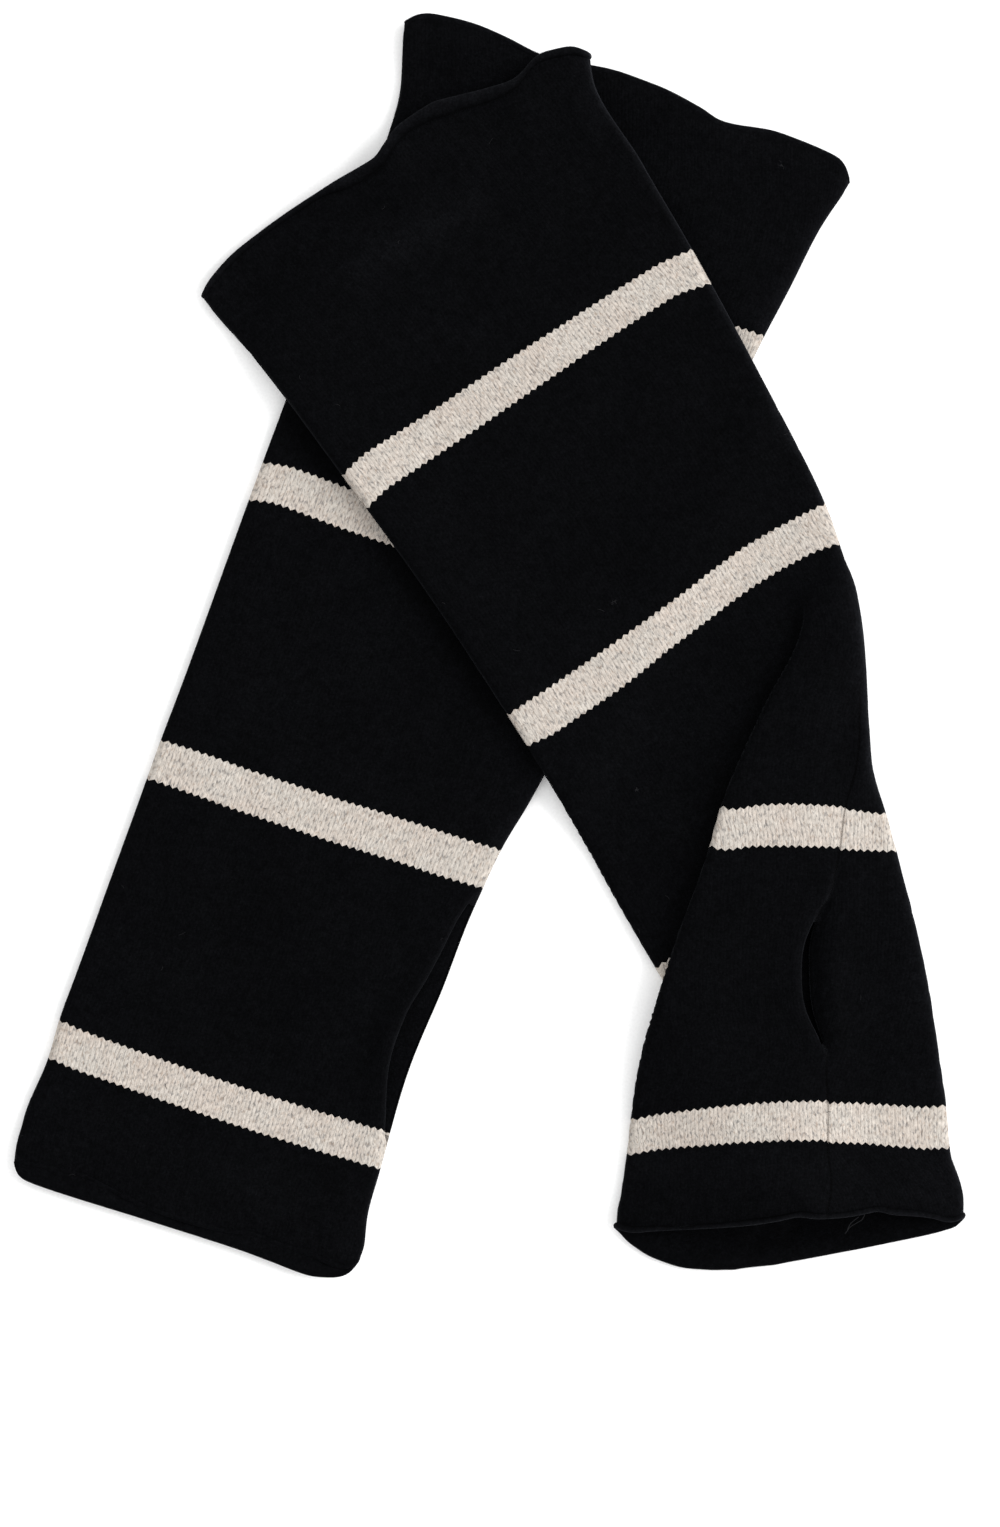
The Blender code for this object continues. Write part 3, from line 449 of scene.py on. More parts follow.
def fade(value, start, end):
    """From 1 at start to 0 at end, as softly."""
    return 1.0 - ramp(value, start, end)


def bell(distance, width):
    """1 at no distance, and less and less over about this width on both sides."""
    return np.exp(-((distance / width) ** 2))


def unit(vectors):
    """The same directions at length 1."""
    return vectors / np.linalg.norm(vectors, axis=-1, keepdims=True)


def curve_through(rows):
    """A smooth function through a table's rows that never swings past them: the first column is
    where, the rest are what."""
    table = np.array(list(rows), float)
    where, what = table[:, 0], table[:, 1:]
    steps = np.diff(where)
    slopes = np.diff(what, axis=0) / steps[:, None]
    one_way = slopes[:-1] * slopes[1:] > 0.0
    both = np.where(one_way, slopes[:-1] + slopes[1:], 1.0)
    between = np.where(one_way, 2.0 * slopes[:-1] * slopes[1:] / both, 0.0)
    tangents = np.vstack((slopes[:1], between, slopes[-1:]))

    def read(at):
        at = np.clip(np.atleast_1d(np.asarray(at, float)), where[0], where[-1])
        i = np.clip(np.searchsorted(where, at, side="right") - 1, 0, len(steps) - 1)
        h = steps[i][:, None]
        s = ((at - where[i]) / steps[i])[:, None]
        rise = s * s * (3.0 - 2.0 * s)
        return (
            (1.0 - rise) * what[i]
            + rise * what[i + 1]
            + s * (1.0 - s) ** 2 * h * tangents[i]
            - s * s * (1.0 - s) * h * tangents[i + 1]
        )

    return read


def line_between(rows, at):
    """A plain reading of a two-column table, straight between its rows."""
    table = np.array(rows, float)
    return np.interp(at, table[:, 0], table[:, 1])


def distance_outside(points, outline):
    """How far each point lies outside a closed outline on the table, less than 0 inside it."""
    start = outline
    side = np.roll(outline, -1, axis=0) - start
    away = points[:, None, :] - start[None]
    share = np.clip((away * side).sum(2) / np.maximum((side * side).sum(1), NEXT_TO_NONE), 0.0, 1.0)
    gap = np.linalg.norm(away - share[..., None] * side, axis=2).min(axis=1)
    above = start[None, :, 1] > points[:, None, 1]
    end_above = np.roll(above, -1, axis=1)
    reach = np.where(np.abs(side[:, 1]) < NEXT_TO_NONE, NEXT_TO_NONE, side[:, 1])
    crossing = start[:, 0] + (points[:, None, 1] - start[:, 1]) * side[:, 0] / reach
    crossed = (above != end_above) & (points[:, None, 0] < crossing)
    return np.where(crossed.sum(axis=1) % 2 == 1, -gap, gap)


def distance_left_of(points, start, end):
    """How far each point lies to the left of the line that runs from start to end."""
    along = np.subtract(end, start) / np.linalg.norm(np.subtract(end, start))
    away = points - np.asarray(start)
    return along[0] * away[:, 1] - along[1] * away[:, 0]


def nearness(points, stroke):
    """How near points on the table are to a stroke, from 1 on it to 0, and how far along it."""
    *ends, width = stroke
    start, end = np.reshape(ends, (2, 2))
    side = end - start
    share = np.clip((points - start) @ side / (side @ side), 0.0, 1.0)
    gap = np.linalg.norm(points - start - share[..., None] * side, axis=-1)
    return bell(gap, width), share


class Glove:
    """One glove's cloth: where its layers lie on the table, and how high."""

    def __init__(self, name, sections, seam, bends, elbow, hand, mouth, rolls, stripes, slit):
        self.name, self.length = name, sections[-1][0]
        self.mouth, self.rolls, self.stripes, self.slit = mouth, rolls, stripes, slit
        self.edges, self.seam, self.bends = (curve_through(rows) for rows in (sections, seam, bends))
        self.elbow_reach, self.hand_reach = curve_through(elbow), curve_through(hand)
        self.slit_width = curve_through(slit.widths)

    def edge_points(self, along):
        """Where the middle of the wall turns at the left fold and at the right edge."""
        left, right = self.edges(along).reshape(2, 2)
        inward = (right - left) / np.linalg.norm(right - left) * FOLD_INSET
        return left + inward, right - inward

    def hem_shift(self, along, across, column):
        """How far an end's reach moves a point towards the elbow; column is 0 above and 1 below."""
        elbow = self.elbow_reach(across)[:, column] * fade(along, 0.0, ELBOW_FADE)
        hand = self.hand_reach(across)[:, column] * fade(self.length - along, 0.0, HAND_FADE)
        return elbow - hand

    def end_lift(self, along):
        """The rolled edges hold the cloth up off the table by their own swelling."""
        return ROLL_SWELL * fade(min(along, self.length - along), ROLL_WIDTH, ROLL_WIDTH + END_SLOPE)

    def mouth_lift(self, along, across):
        """How high the hand end's upper lip stands open."""
        near_end = fade(self.length - along, 0.0, MOUTH_DEPTH)
        return self.mouth * near_end * np.sin(math.pi * np.clip(across, 0.0, 1.0)) ** MOUTH_FULLNESS

    def crease_lift(self, points):
        """How high the soft folds stand at these points on the table."""
        lift = np.zeros(len(points))
        for *stroke, height in CREASES[self.name]:
            near, share = nearness(points, stroke)
            lift += height * (1.0 - CREASE_LOSS * share) * near
        return lift

    def painted_light_and_nap_at(self, points):
        """How much the strokes lighten the colour at these points on the table, or darken it below 0:
        painted highlights and shade, and nap.
        """
        return sum(amount * nearness(points, stroke)[0] for *stroke, amount in LIGHT_AND_NAP_STROKES[self.name])


def lower_glove():
    """The glove underneath. Its seam runs down its right edge, where it hardly shows."""
    shape = {"sections": LOWER_SECTIONS, "elbow": LOWER_ELBOW, "hand": LOWER_HAND, "mouth": LOWER_MOUTH}
    edges = {"seam": LOWER_SEAM, "slit": LOWER_SLIT, "rolls": LOWER_ROLLS}
    return Glove("lower", **shape, **edges, bends=LOWER_BENDS, stripes=LOWER_STRIPES)


def upper_glove():
    """The glove on top, whose seam and slit show."""
    shape = {"sections": UPPER_SECTIONS, "elbow": UPPER_ELBOW, "hand": UPPER_HAND, "mouth": UPPER_MOUTH}
    edges = {"seam": UPPER_SEAM, "slit": UPPER_SLIT, "rolls": UPPER_ROLLS}
    return Glove("upper", **shape, **edges, bends=UPPER_BENDS, stripes=UPPER_STRIPES)


def outline_on_table(glove):
    """The outline of a glove that lies in two plain layers, seen from above."""
    edges = glove.edges(np.linspace(0.0, glove.length, OUTLINE_POINTS))
    return np.vstack((edges[:, :2], edges[::-1, 2:]))


def over_lift(points, below):
    """How high the upper glove is carried by the lower one, at these points on the table."""
    outside = distance_outside(points, outline_on_table(below))
    body = fade(outside, OVER_PLATEAU, OVER_PLATEAU + OVER_SLOPE)
    left, right = below.edge_points(0.0)
    from_hem = np.abs(distance_left_of(points, left, right) - HEM_OUTSIDE)
    hem = fade(from_hem, HEM_PLATEAU, OVER_PLATEAU + OVER_SLOPE)
    return (LOWER_THICKNESS + OVER_CLEARANCE) * body + 2 * ROLL_SWELL * body * hem


def pleat_lift(points, along):
    """From 0 to 1, how far the layers under the pleat hold up those that lie over them."""
    past_left = -distance_left_of(points, TUCK_LEFT_HEAD, TUCK_FOOT)
    past_right = distance_left_of(points, TUCK_RIGHT_HEAD, TUCK_FOOT)
    outside = np.maximum(np.maximum(past_left, past_right), TUCK_FOOT[1] - points[:, 1])
    held_up = fade(outside, TUCK_PLATEAU, TUCK_PLATEAU + TUCK_SLOPE)
    return held_up * ramp(along, PLEAT_STARTS, PLEAT_STANDS)


def pleat_points(along, left, right):
    """The pleat's two folds. Short of the pleat they lie flat, a little in from the right edge."""
    if along < PLEAT_STARTS:
        back = (left - right) / np.linalg.norm(left - right)
        return right + back * PLEAT_FROM_RIGHT[0], right + back * PLEAT_FROM_RIGHT[1]
    return curve_through(PLEAT_ROWS)(along).reshape(2, 2)


def run_between(start, end):
    """Points about RING_STEP apart from start to end, without the last."""
    count = max(int(np.linalg.norm(end - start) / RING_STEP), 2)
    return start + (np.arange(count) / count)[:, None] * (end - start)


def softened(ring):
    """A closed ring whose corners are rounded off evenly."""
    for _ in range(FOLD_SOFTENING):
        ring = 0.5 * ring + 0.25 * (np.roll(ring, 1, axis=0) + np.roll(ring, -1, axis=0))
    return ring


def ring_from_layers(layers, fold_names):
    """Joins the layers end to end with upright steps, and marks the middle of each step."""
    points, marks, count = [], {}, 0
    for i, layer in enumerate(layers):
        step = run_between(layer[-1], layers[(i + 1) % len(layers)][0])
        count += len(layer)
        marks[fold_names[i]] = count - 1 + len(step) / 2.0
        points += [layer, step[1:]]
        count += len(step) - 1
    return np.vstack(points), marks


def raised(plan, heights):
    """Points on the table given their heights."""
    return np.column_stack((plan, heights))


def layer_on_table(glove, along, ends, sides, column, bow=0.0):
    """A layer's points on the table from one end to the other, and their shares of the way across
    between the glove's sides. They are moved along the glove by its end's reach and by the bow; the
    column of the reach is 0 for the upper layer and 1 for the under one."""
    start, end = ends
    first, last = sides
    plan = np.vstack((run_between(start, end), end))
    side = last - first
    across = np.clip((plan - first) @ side / (side @ side), 0.0, 1.0)
    side = side / np.linalg.norm(side)
    to_elbow = np.array((-side[1], side[0]))
    shift = glove.hem_shift(along, across, column) + bow * np.sin(math.pi * across)
    return plan + shift[:, None] * to_elbow, across


def hem_rise(glove, along, across):
    """How far the under layer rises where its hand end reaches out past the upper layer's."""
    near_end = fade(glove.length - along, 0.0, HAND_FADE)
    upper, under = glove.hand_reach(across).T
    past_upper = along + under * near_end - (glove.length + upper)
    return HEM_RISE * ramp(past_upper, HEM_RISE_STARTS, HEM_RISE_ENDS)


def lower_ring(glove, along):
    """The lower glove's closed ring at a place along it, in two layers."""
    left, right = glove.edge_points(along)
    lift = HALF_WALL + glove.end_lift(along)
    bottom, across = layer_on_table(glove, along, (right, left), (left, right), 1)
    bottom = raised(bottom, lift + hem_rise(glove, along, across))
    top, across = layer_on_table(glove, along, (left, right), (left, right), 0)
    height = lift + LAYER_PITCH + glove.mouth_lift(along, across) + glove.crease_lift(top)
    ring, marks = ring_from_layers([bottom, raised(top, height)], ("left", "right"))
    marks["shows"] = marks["left"]
    return ring, marks


def spring(points, line, height, width, along, places):
    """How far the cloth by a fold springs up. Along the glove it starts at the first of the places,
    is full at the second, eases from the third and ends at the last."""
    starts, full, eases, ends = places
    in_place = ramp(along, starts, full) * fade(along, eases, ends)
    return height * in_place * fade(np.linalg.norm(points - line, axis=1), 0.0, width)


def upper_ring(glove, below, along):
    """The upper glove's closed ring at a place along it. From the bottom it runs round the left
    fold, back by the pleat's under fold and forth by its over fold, to the right edge."""
    left, right = glove.edge_points(along)
    under, over = pleat_points(along, left, right)
    lies = float(ramp(along, PLEAT_STANDS, PLEAT_LIES))
    over = over + (right - over) / np.linalg.norm(right - over) * FOLD_INSET * lies
    past_apex, merged = along > PLEAT_STANDS, along > PLEAT_MERGES
    sides = (over if past_apex else left), right
    lift = HALF_WALL + glove.end_lift(along)

    def layer(start, end, column, bow=0.0):
        return layer_on_table(glove, along, (start, end), sides, column, bow)

    def carried(points):
        return lift + over_lift(points, below) + spring(points, left, *FOLD_SPRING, along, FOLD_PLACES)

    def sprung(points):
        return spring(points, over, *PLEAT_SPRING, along, PLEAT_PLACES)

    bottom, _ = layer(right, left, 1)
    bottom = raised(bottom, carried(bottom))

    second, _ = layer(left, under, int(merged))
    level = pleat_lift(second, along) if merged else 1.0
    second = raised(second, carried(second) + LAYER_PITCH * level + glove.crease_lift(second))

    third, _ = layer(under, over, int(past_apex))
    level = (1.0 - lies) + (1.0 + lies) * pleat_lift(third, along)
    third = raised(third, carried(third) + LAYER_PITCH * level + sprung(third))

    top, across = layer(over, right, 0, line_between(UPPER_BOW, along))
    height = carried(top) + LAYER_PITCH * (1.0 + 2.0 * pleat_lift(top, along)) + sprung(top)
    top = raised(top, height + glove.mouth_lift(along, across) + glove.crease_lift(top))
    ring, marks = ring_from_layers([bottom, second, third, top], ("left", "under", "over", "right"))
    marks["shows"] = marks["over" if past_apex else "left"]
    return ring, marks


def read_ring(ring, marks, seam_back):
    """Reads a softened ring at even steps round from the seam. Gives the points, how far each is
    from the left fold and from the seam, round the glove, and its share of the way across the side
    that shows, which is 0 elsewhere."""
    soft = softened(ring)
    closed = np.vstack((soft, soft[:1]))
    travelled = np.concatenate(([0.0], np.cumsum(np.linalg.norm(np.diff(closed, axis=0), axis=1))))
    total = travelled[-1]
    named = [marks[name] for name in ("right", "left", "shows")]
    right, left, shows = np.interp(named, np.arange(len(travelled)), travelled)
    seam = right - seam_back
    left += total if left < seam else 0.0
    shows += total if shows < seam else 0.0
    around = seam + SEAM_SPACING / 2.0 + np.linspace(0.0, total - SEAM_SPACING, COLUMNS)
    points = np.column_stack([np.interp(around % total, travelled, axis) for axis in closed.T])
    passed = np.where(around < right, around + total, around)
    share = np.clip((passed - shows) / (right + total - shows), 0.0, 1.0)
    return points, around - left, around - seam, share


def normals_of(grid):
    """Outward directions on a grid of rings, whose columns run round the tube clockwise."""
    along = np.empty_like(grid)
    along[1:-1] = grid[2:] - grid[:-2]
    along[0], along[-1] = grid[1] - grid[0], grid[-1] - grid[-2]
    round_tube = np.roll(grid, -1, axis=1) - np.roll(grid, 1, axis=1)
    return unit(np.cross(along, round_tube))


def opened_slit(glove, grid, places):
    """Draws the slit's two lips apart, less and less away from them."""
    slit, opening = glove.slit, glove.slit_width(places)
    steps = np.linalg.norm(np.diff(grid, axis=1), axis=2)
    from_far = np.hstack((np.zeros((len(grid), 1)), np.cumsum(steps, axis=1)))
    from_upper = from_far[:, -1:] - from_far
    moved = grid.copy()
    moved[..., 2] -= line_between(slit.dip, places)[:, None] * fade(from_far, 0.0, DIP_WIDTH)
    for share, lift, away, (lip, back) in (
        (slit.upper_share, slit.lift, from_upper, UPPER_LIP),
        (slit.far_share, 0.0, from_far, FAR_LIP),
    ):
        drawn = fade(away, 0.0, SLIT_FALLOFF) * opening * share
        moved += drawn[..., None] * unit(grid[:, back] - grid[:, lip])[:, None, :]
        moved[..., 2] += lift * drawn
    return moved


def first_course(glove):
    """The number of the course at a glove's first stripe."""
    return round(glove.stripes[0] / COURSE_HEIGHT)


def courses_at(glove, places):
    """The number of the course at each place along a glove, with whole numbers at stripe edges."""
    stops, courses = [], []
    for i, start in enumerate(glove.stripes):
        course = first_course(glove) + i * STRIPE_PITCH
        stops += [start, start + STRIPE_WIDTH]
        courses += [course, course + STRIPE_COURSES]
    before = courses[0] - stops[0] / COURSE_HEIGHT
    after = courses[-1] + (glove.length - stops[-1]) / COURSE_HEIGHT
    return np.interp(places, [0.0, *stops, glove.length], [before, *courses, after])


def roll_sizes(roll, around, to_folds, shares):
    """How large a roll is round the glove, as a share: flattened by the folds and uneven between."""
    even = ROLL_AT_FOLD + (1.0 - ROLL_AT_FOLD) * ramp(to_folds, 0.0, ROLL_FULL_FROM)
    waves = sum(
        wave.amount * np.sin(2.0 * math.pi * around / wave.length + wave.start) for wave in ROLL_WAVES
    )
    return even * (1.0 + waves) * line_between(roll.sizes, shares)


def rolled_end(roll, sizes, base, inner, normals):
    """The end's last row, drawn out to the outline where the roll is small, the rows that turn
    outwards from it, and the way their faces look."""
    out = unit(base - inner)
    sizes = sizes[:, None]
    base = base + roll.along * (1.0 - sizes) * out
    rows, directions = [], []
    for turn in ROLL_TURNS:
        ahead, aside = math.sin(turn), 1.0 - math.cos(turn)
        rows.append(base + sizes * (roll.along * ahead * out + roll.across * aside * normals))
        directions.append(unit(math.cos(turn) * normals - math.sin(turn) * out))
    return base, rows, directions


def with_ends(rows):
    """The grid's rows with the rolled ends' rows before and after, which are all alike."""
    return np.concatenate(([rows[0]] * ROLL_STEPS, rows, [rows[-1]] * ROLL_STEPS))


class Shell:
    """One glove's cloth as a grid of points, with its stitch coordinates."""

    def __init__(self, glove, ring_at):
        self.glove = glove
        elbow, hand = glove.rolls
        start = elbow.along + elbow.half
        end = glove.length - hand.along - hand.half
        places = np.linspace(start, end, round((end - start) / ROW_STEP))
        seam_back = glove.seam(places)
        read = [read_ring(*ring_at(along), float(back)) for along, back in zip(places, seam_back[:, 0])]
        grid, from_left, from_seam, shares = (np.array(part) for part in zip(*read))
        grid = opened_slit(glove, grid, places)
        normals = normals_of(grid)
        total = from_seam[:, -1:] + SEAM_SPACING / 2.0
        past_seam = np.where(from_seam < total / 2.0, from_seam, from_seam - total)
        in_slit = self.slit_share(places)
        grid = self.with_seam(grid, normals, past_seam, in_slit)

        half = HALF_WALL - (HALF_WALL - elbow.half) * fade(places - start, 0.0, ROLL_THINS_OVER)
        half = half - (HALF_WALL - hand.half) * fade(end - places, 0.0, ROLL_THINS_OVER)
        by_lip = in_slit * bell(past_seam, LIP_SPREAD)
        half = half[:, None] * (1.0 - LIP_THINNING * by_lip)
        self.wales, self.past_seam, self.half = map(with_ends, (from_left / WALE, past_seam, half))
        self.rubbed = self.painted_light_and_nap(grid, normals, past_seam, in_slit)

        to_folds = np.minimum(np.abs(from_left), np.abs(past_seam + seam_back))
        sizes = [roll_sizes(glove.rolls[i], from_left[i], to_folds[i], shares[i]) for i in (0, -1)]
        self.add_rolled_ends(grid, normals, sizes)
        self.add_courses(self.courses_of(places, shares))
        open_rows = np.flatnonzero(glove.slit_width(places)[:, 0] > SLIT_PARTS)
        self.slit_rows = (open_rows + ROLL_STEPS).tolist()

    def slit_share(self, places):
        """1 along the slit and 0 away from it, with a short ramp at either end."""
        widths = self.glove.slit.widths
        start, end = widths[0][0], widths[-1][0]
        share = ramp(places, start, start + SLIT_ENDS) * fade(places, end - SLIT_ENDS, end)
        return share[:, None]

    def with_seam(self, grid, normals, past_seam, in_slit):
        """Presses the seam's groove into the cloth, and turns the slit's lips under."""
        groove = SEAM_GROOVE * bell(past_seam, SEAM_SPREAD)
        lip = LIP_TURN * bell(past_seam, LIP_SPREAD)
        lip = np.where(past_seam > 0.0, lip * self.glove.slit.far_turn, lip)
        depth = groove + (lip - groove) * in_slit
        return grid - normals * depth[..., None]

    def painted_light_and_nap(self, grid, normals, past_seam, in_slit):
        """How much the colour is lightened, or darkened below 0: painted highlights, painted shade and
        nap where the strokes lie, painted highlights on the lips, at the rims that face right and on
        the rolls' outer sides, and painted shade where the rolls turn back in.
        """
        at_lip = in_slit * bell(past_seam, LIP_HIGHLIGHT_WIDTH)
        rubbed = self.glove.painted_light_and_nap_at(grid[..., :2])
        # Painted highlights on the slit's upper lip and on the rims that face the key
        rubbed = rubbed + LIP_HIGHLIGHT * np.where(past_seam < 0.0, at_lip, 0.0)
        faces_right = ramp(normals[..., 0], RIM_STARTS, RIM_FULL)
        rubbed = rubbed + RIM_HIGHLIGHT * faces_right * (1.0 - LIP_DULLED * at_lip)
        elbow, hand = self.glove.rolls
        # The rolls get a painted highlight where they face out and painted shade where they turn back
        # in
        outwards = np.cos(ROLL_TURNS - ROLL_LIT_AT)[:, None]
        first = rubbed[0] + np.maximum(elbow.rubbed * outwards[::-1], -elbow.pressed)
        last = rubbed[-1] + np.maximum(hand.rubbed * outwards, -hand.pressed)
        return np.concatenate((first, rubbed, last))

    def courses_of(self, places, shares):
        """The number of the course at each point: bent rows, and a small step at the seam."""
        folds = np.zeros((len(places), 1))
        values = np.hstack((folds, self.glove.bends(places), folds))
        where = (0.0, *BEND_SHARES, 1.0)
        bends = [curve_through(zip(where, row))(share)[:, 0] for row, share in zip(values, shares)]
        step = SEAM_STEP * np.linspace(-0.5, 0.5, COLUMNS)
        return courses_at(self.glove, places[:, None] + np.array(bends)) + step

    def add_rolled_ends(self, grid, normals, sizes):
        """Joins the rolled ends' rows to the grid's own, at both ends."""
        elbow, hand = self.glove.rolls
        grid[0], first, first_normals = rolled_end(elbow, sizes[0], grid[0], grid[1], normals[0])
        grid[-1], last, last_normals = rolled_end(hand, sizes[1], grid[-1], grid[-2], normals[-1])
        self.grid = np.concatenate((first[::-1], grid, last))
        self.normals = np.concatenate((first_normals[::-1], normals, last_normals))

    def add_courses(self, courses):
        """Carries the count of the courses on round the rolled ends."""
        steps = [ROLL_TURN / ROLL_STEPS * (roll.along + roll.across) / 2.0 for roll in self.glove.rolls]
        before, after = (step / COURSE_HEIGHT for step in steps)
        first = [courses[0] - before * (ROLL_STEPS - i) for i in range(ROLL_STEPS)]
        last = [courses[-1] + after * (i + 1) for i in range(ROLL_STEPS)]
        self.courses = np.concatenate((first, courses, last))

    def faces(self):
        """The wall's faces, by point numbers, and 0 for the face of the knit or 1 for its back."""
        rows, columns = self.grid.shape[:2]
        inside = rows * columns

        def at(i, j):
            return i * columns + j % columns

        def edge(a, b):
            return a, b, inside + b, inside + a

        faces, sides = [], []
        slit = set(self.slit_rows)
        for i in range(rows - 1):
            for j in range(columns - (i in slit)):
                a, b, c, d = at(i, j), at(i, j + 1), at(i + 1, j + 1), at(i + 1, j)
                faces += [(a, d, c, b), (inside + a, inside + b, inside + c, inside + d)]
                sides += [0, 1]
        for j in range(columns):
            faces.append(edge(at(0, j), at(0, j + 1)))
            faces.append(edge(at(rows - 1, j + 1), at(rows - 1, j)))
            sides += [1, 1]
        lip, far = columns - 1, 0
        for i in self.slit_rows:
            faces.append(edge(at(i, lip), at(i + 1, lip)))
            faces.append((at(i, far), inside + at(i, far), inside + at(i + 1, far), at(i + 1, far)))
        start, end = self.slit_rows[0], self.slit_rows[-1] + 1
        faces += [edge(at(start, far), at(start, lip)), edge(at(end, lip), at(end, far))]
        sides += [0] * (len(faces) - len(sides))
        return faces, sides

    def build(self, name, materials):
        """Makes the shell's object, with the stitch coordinates as its UV map."""
        outwards = self.normals * self.half[..., None]
        points = np.concatenate((self.grid + outwards, self.grid - outwards)).reshape(-1, 3)
        points[:, 2] = np.maximum(points[:, 2], 0.0)
        points = (points * MM).tolist()
        faces, sides = self.faces()
        self.tree = BVHTree.FromPolygons(points, faces)
        shell = mesh_object(name, points, faces, materials)
        mesh = shell.data
        mesh.polygons.foreach_set("material_index", sides)
        stitches = np.dstack((self.wales, self.courses)).reshape(-1, 2)
        corners = np.empty(len(mesh.loops), int)
        mesh.loops.foreach_get("vertex_index", corners)
        layer = mesh.uv_layers.new(name=STITCH_MAP)
        layer.data.foreach_set("uv", stitches[corners % len(stitches)].ravel())
        for attribute, values in ((SEAM_DISTANCE, self.past_seam), (NAP_AND_LIGHT_ATTRIBUTE, self.rubbed)):
            carried = mesh.attributes.new(attribute, "FLOAT", "POINT")
            carried.data.foreach_set("value", np.tile(values.ravel(), 2))
        return shell


def linked(name, data):
    """An object that holds this data, in the scene."""
    holder = bpy.data.objects.new(name, data)
    bpy.context.scene.collection.objects.link(holder)
    return holder


def mesh_object(name, points, faces, materials):
    """A smooth object with these points, faces and materials, in the scene."""
    mesh = bpy.data.meshes.new(name)
    mesh.from_pydata(points, [], faces)
    for material in materials:
        mesh.materials.append(material)
    mesh.shade_smooth()
    return linked(name, mesh)


class Nodes:
    """Short calls for the nodes of one material."""

    def __init__(self, name):
        self.material = bpy.data.materials.new(name)
        self.material.use_nodes = True
        self.tree = self.material.node_tree

    def fill(self, node, inputs):
        """Sets a node's inputs, or links them where they are given an output."""
        for key, value in inputs.items():
            if isinstance(value, bpy.types.NodeSocket):
                self.tree.links.new(value, node.inputs[key])
            else:
                node.inputs[key].default_value = value

    def made(self, kind, inputs, output=0, **settings):
        """Adds a node and gives one of its outputs."""
        node = self.tree.nodes.new(kind)
        for key, value in settings.items():
            setattr(node, key, value)
        self.fill(node, inputs)
        return node.outputs[output]

    def shaded(self, inputs):
        """The finished material, with these inputs of its shader."""
        self.fill(self.tree.nodes["Principled BSDF"], inputs)
        return self.material

    def place(self):
        return self.made("ShaderNodeTexCoord", {}, "Object")

    def carried(self, attribute):
        return self.made("ShaderNodeAttribute", {}, "Fac", attribute_name=attribute)

    def math(self, operation, *values):
        return self.made("ShaderNodeMath", dict(enumerate(values)), operation=operation)

    def vector(self, x, y, z):
        return self.made("ShaderNodeCombineXYZ", {"X": x, "Y": y, "Z": z})

    def noise(self, vector, scale, detail=2.0, roughness=0.5):
        inputs = {"Vector": vector, "Scale": scale, "Detail": detail, "Roughness": roughness}
        return self.made("ShaderNodeTexNoise", inputs, "Fac")

    def remap(self, value, low, high, to_low=0.0, to_high=1.0):
        values = (value, low, high, to_low, to_high)
        return self.made("ShaderNodeMapRange", dict(enumerate(values)), "Result")

    def mix(self, share, first, second, blend="MIX"):
        """Two colours mixed. The node takes colours in its sockets 6 and 7 and gives one from 2."""
        inputs = {0: share, 6: first, 7: second}
        return self.made("ShaderNodeMix", inputs, 2, data_type="RGBA", blend_type=blend)

    def scaled(self, colour, share):
        return self.made("ShaderNodeVectorMath", {0: colour, "Scale": share}, operation="SCALE")

    def toned(self, colour, tones, **values):
        """A colour made darker and lighter by each of the values, as the tones say."""
        for name, value in values.items():
            colour = self.scaled(colour, self.remap(value, *tones[name]))
        return colour


def stitch_places(n):
    """The stitch coordinates, a little uneven as knitting is: wales across and courses along."""
    uv = n.made("ShaderNodeUVMap", {}, uv_map=STITCH_MAP)
    across, along = (n.made("ShaderNodeSeparateXYZ", {0: uv}, axis) for axis in ("X", "Y"))
    sway = n.noise(uv, WOBBLE_SCALE)
    shift = n.noise(n.vector(along, across, WOBBLE_APART), WOBBLE_SCALE)
    across = n.math("MULTIPLY_ADD", sway, 2 * WOBBLE_ACROSS, n.math("SUBTRACT", across, WOBBLE_ACROSS))
    along = n.math("MULTIPLY_ADD", shift, 2 * WOBBLE_ALONG, n.math("SUBTRACT", along, WOBBLE_ALONG))
    return across, along


def rounded(n, share, power):
    """0 at both ends of a share of 1 and 1 in its middle, rounded off."""
    doubled = n.math("MULTIPLY_ADD", share, 2.0, -1.0)
    return n.math("POWER", n.math("SUBTRACT", 1.0, n.math("MULTIPLY", doubled, doubled)), power)


def stitch_relief(n, first, second, power):
    """The relief of a leg or an arc: rounded one way, and less deeply the other way."""
    other_way = rounded(n, second, SECOND_ROUNDING)
    other_way = n.math("MULTIPLY_ADD", other_way, SECOND_DEPTH, 1.0 - SECOND_DEPTH)
    return n.math("MULTIPLY", rounded(n, first, power), other_way)


def face_stitch(n, across, along):
    """The knit's face: legs that meet in a V. Gives the relief, the course, the leg's number and
    how far along the leg a point is."""
    half_wales = n.math("MULTIPLY", across, 2.0)
    from_middle = n.math("ABSOLUTE", n.math("MULTIPLY_ADD", n.math("FRACT", across), 2.0, -1.0))
    slanted = n.math("MULTIPLY_ADD", n.math("SUBTRACT", from_middle, 0.5), STITCH_SLANT, along)
    height = stitch_relief(n, n.math("FRACT", half_wales), n.math("FRACT", slanted), LEG_ROUNDING)
    return height, n.math("FLOOR", slanted), n.math("FLOOR", half_wales), slanted


def back_stitch(n, across, along):
    """The knit's back: short arcs in rows, each shifted by half a row beside the next."""
    half_wales = n.math("MULTIPLY", across, 2.0)
    leg = n.math("FLOOR", half_wales)
    shifted = n.math("MULTIPLY_ADD", n.math("FLOORED_MODULO", leg, 2.0), 0.5, along)
    height = stitch_relief(n, n.math("FRACT", shifted), n.math("FRACT", half_wales), ARC_ROUNDING)
    return height, n.math("FLOOR", along), leg, shifted


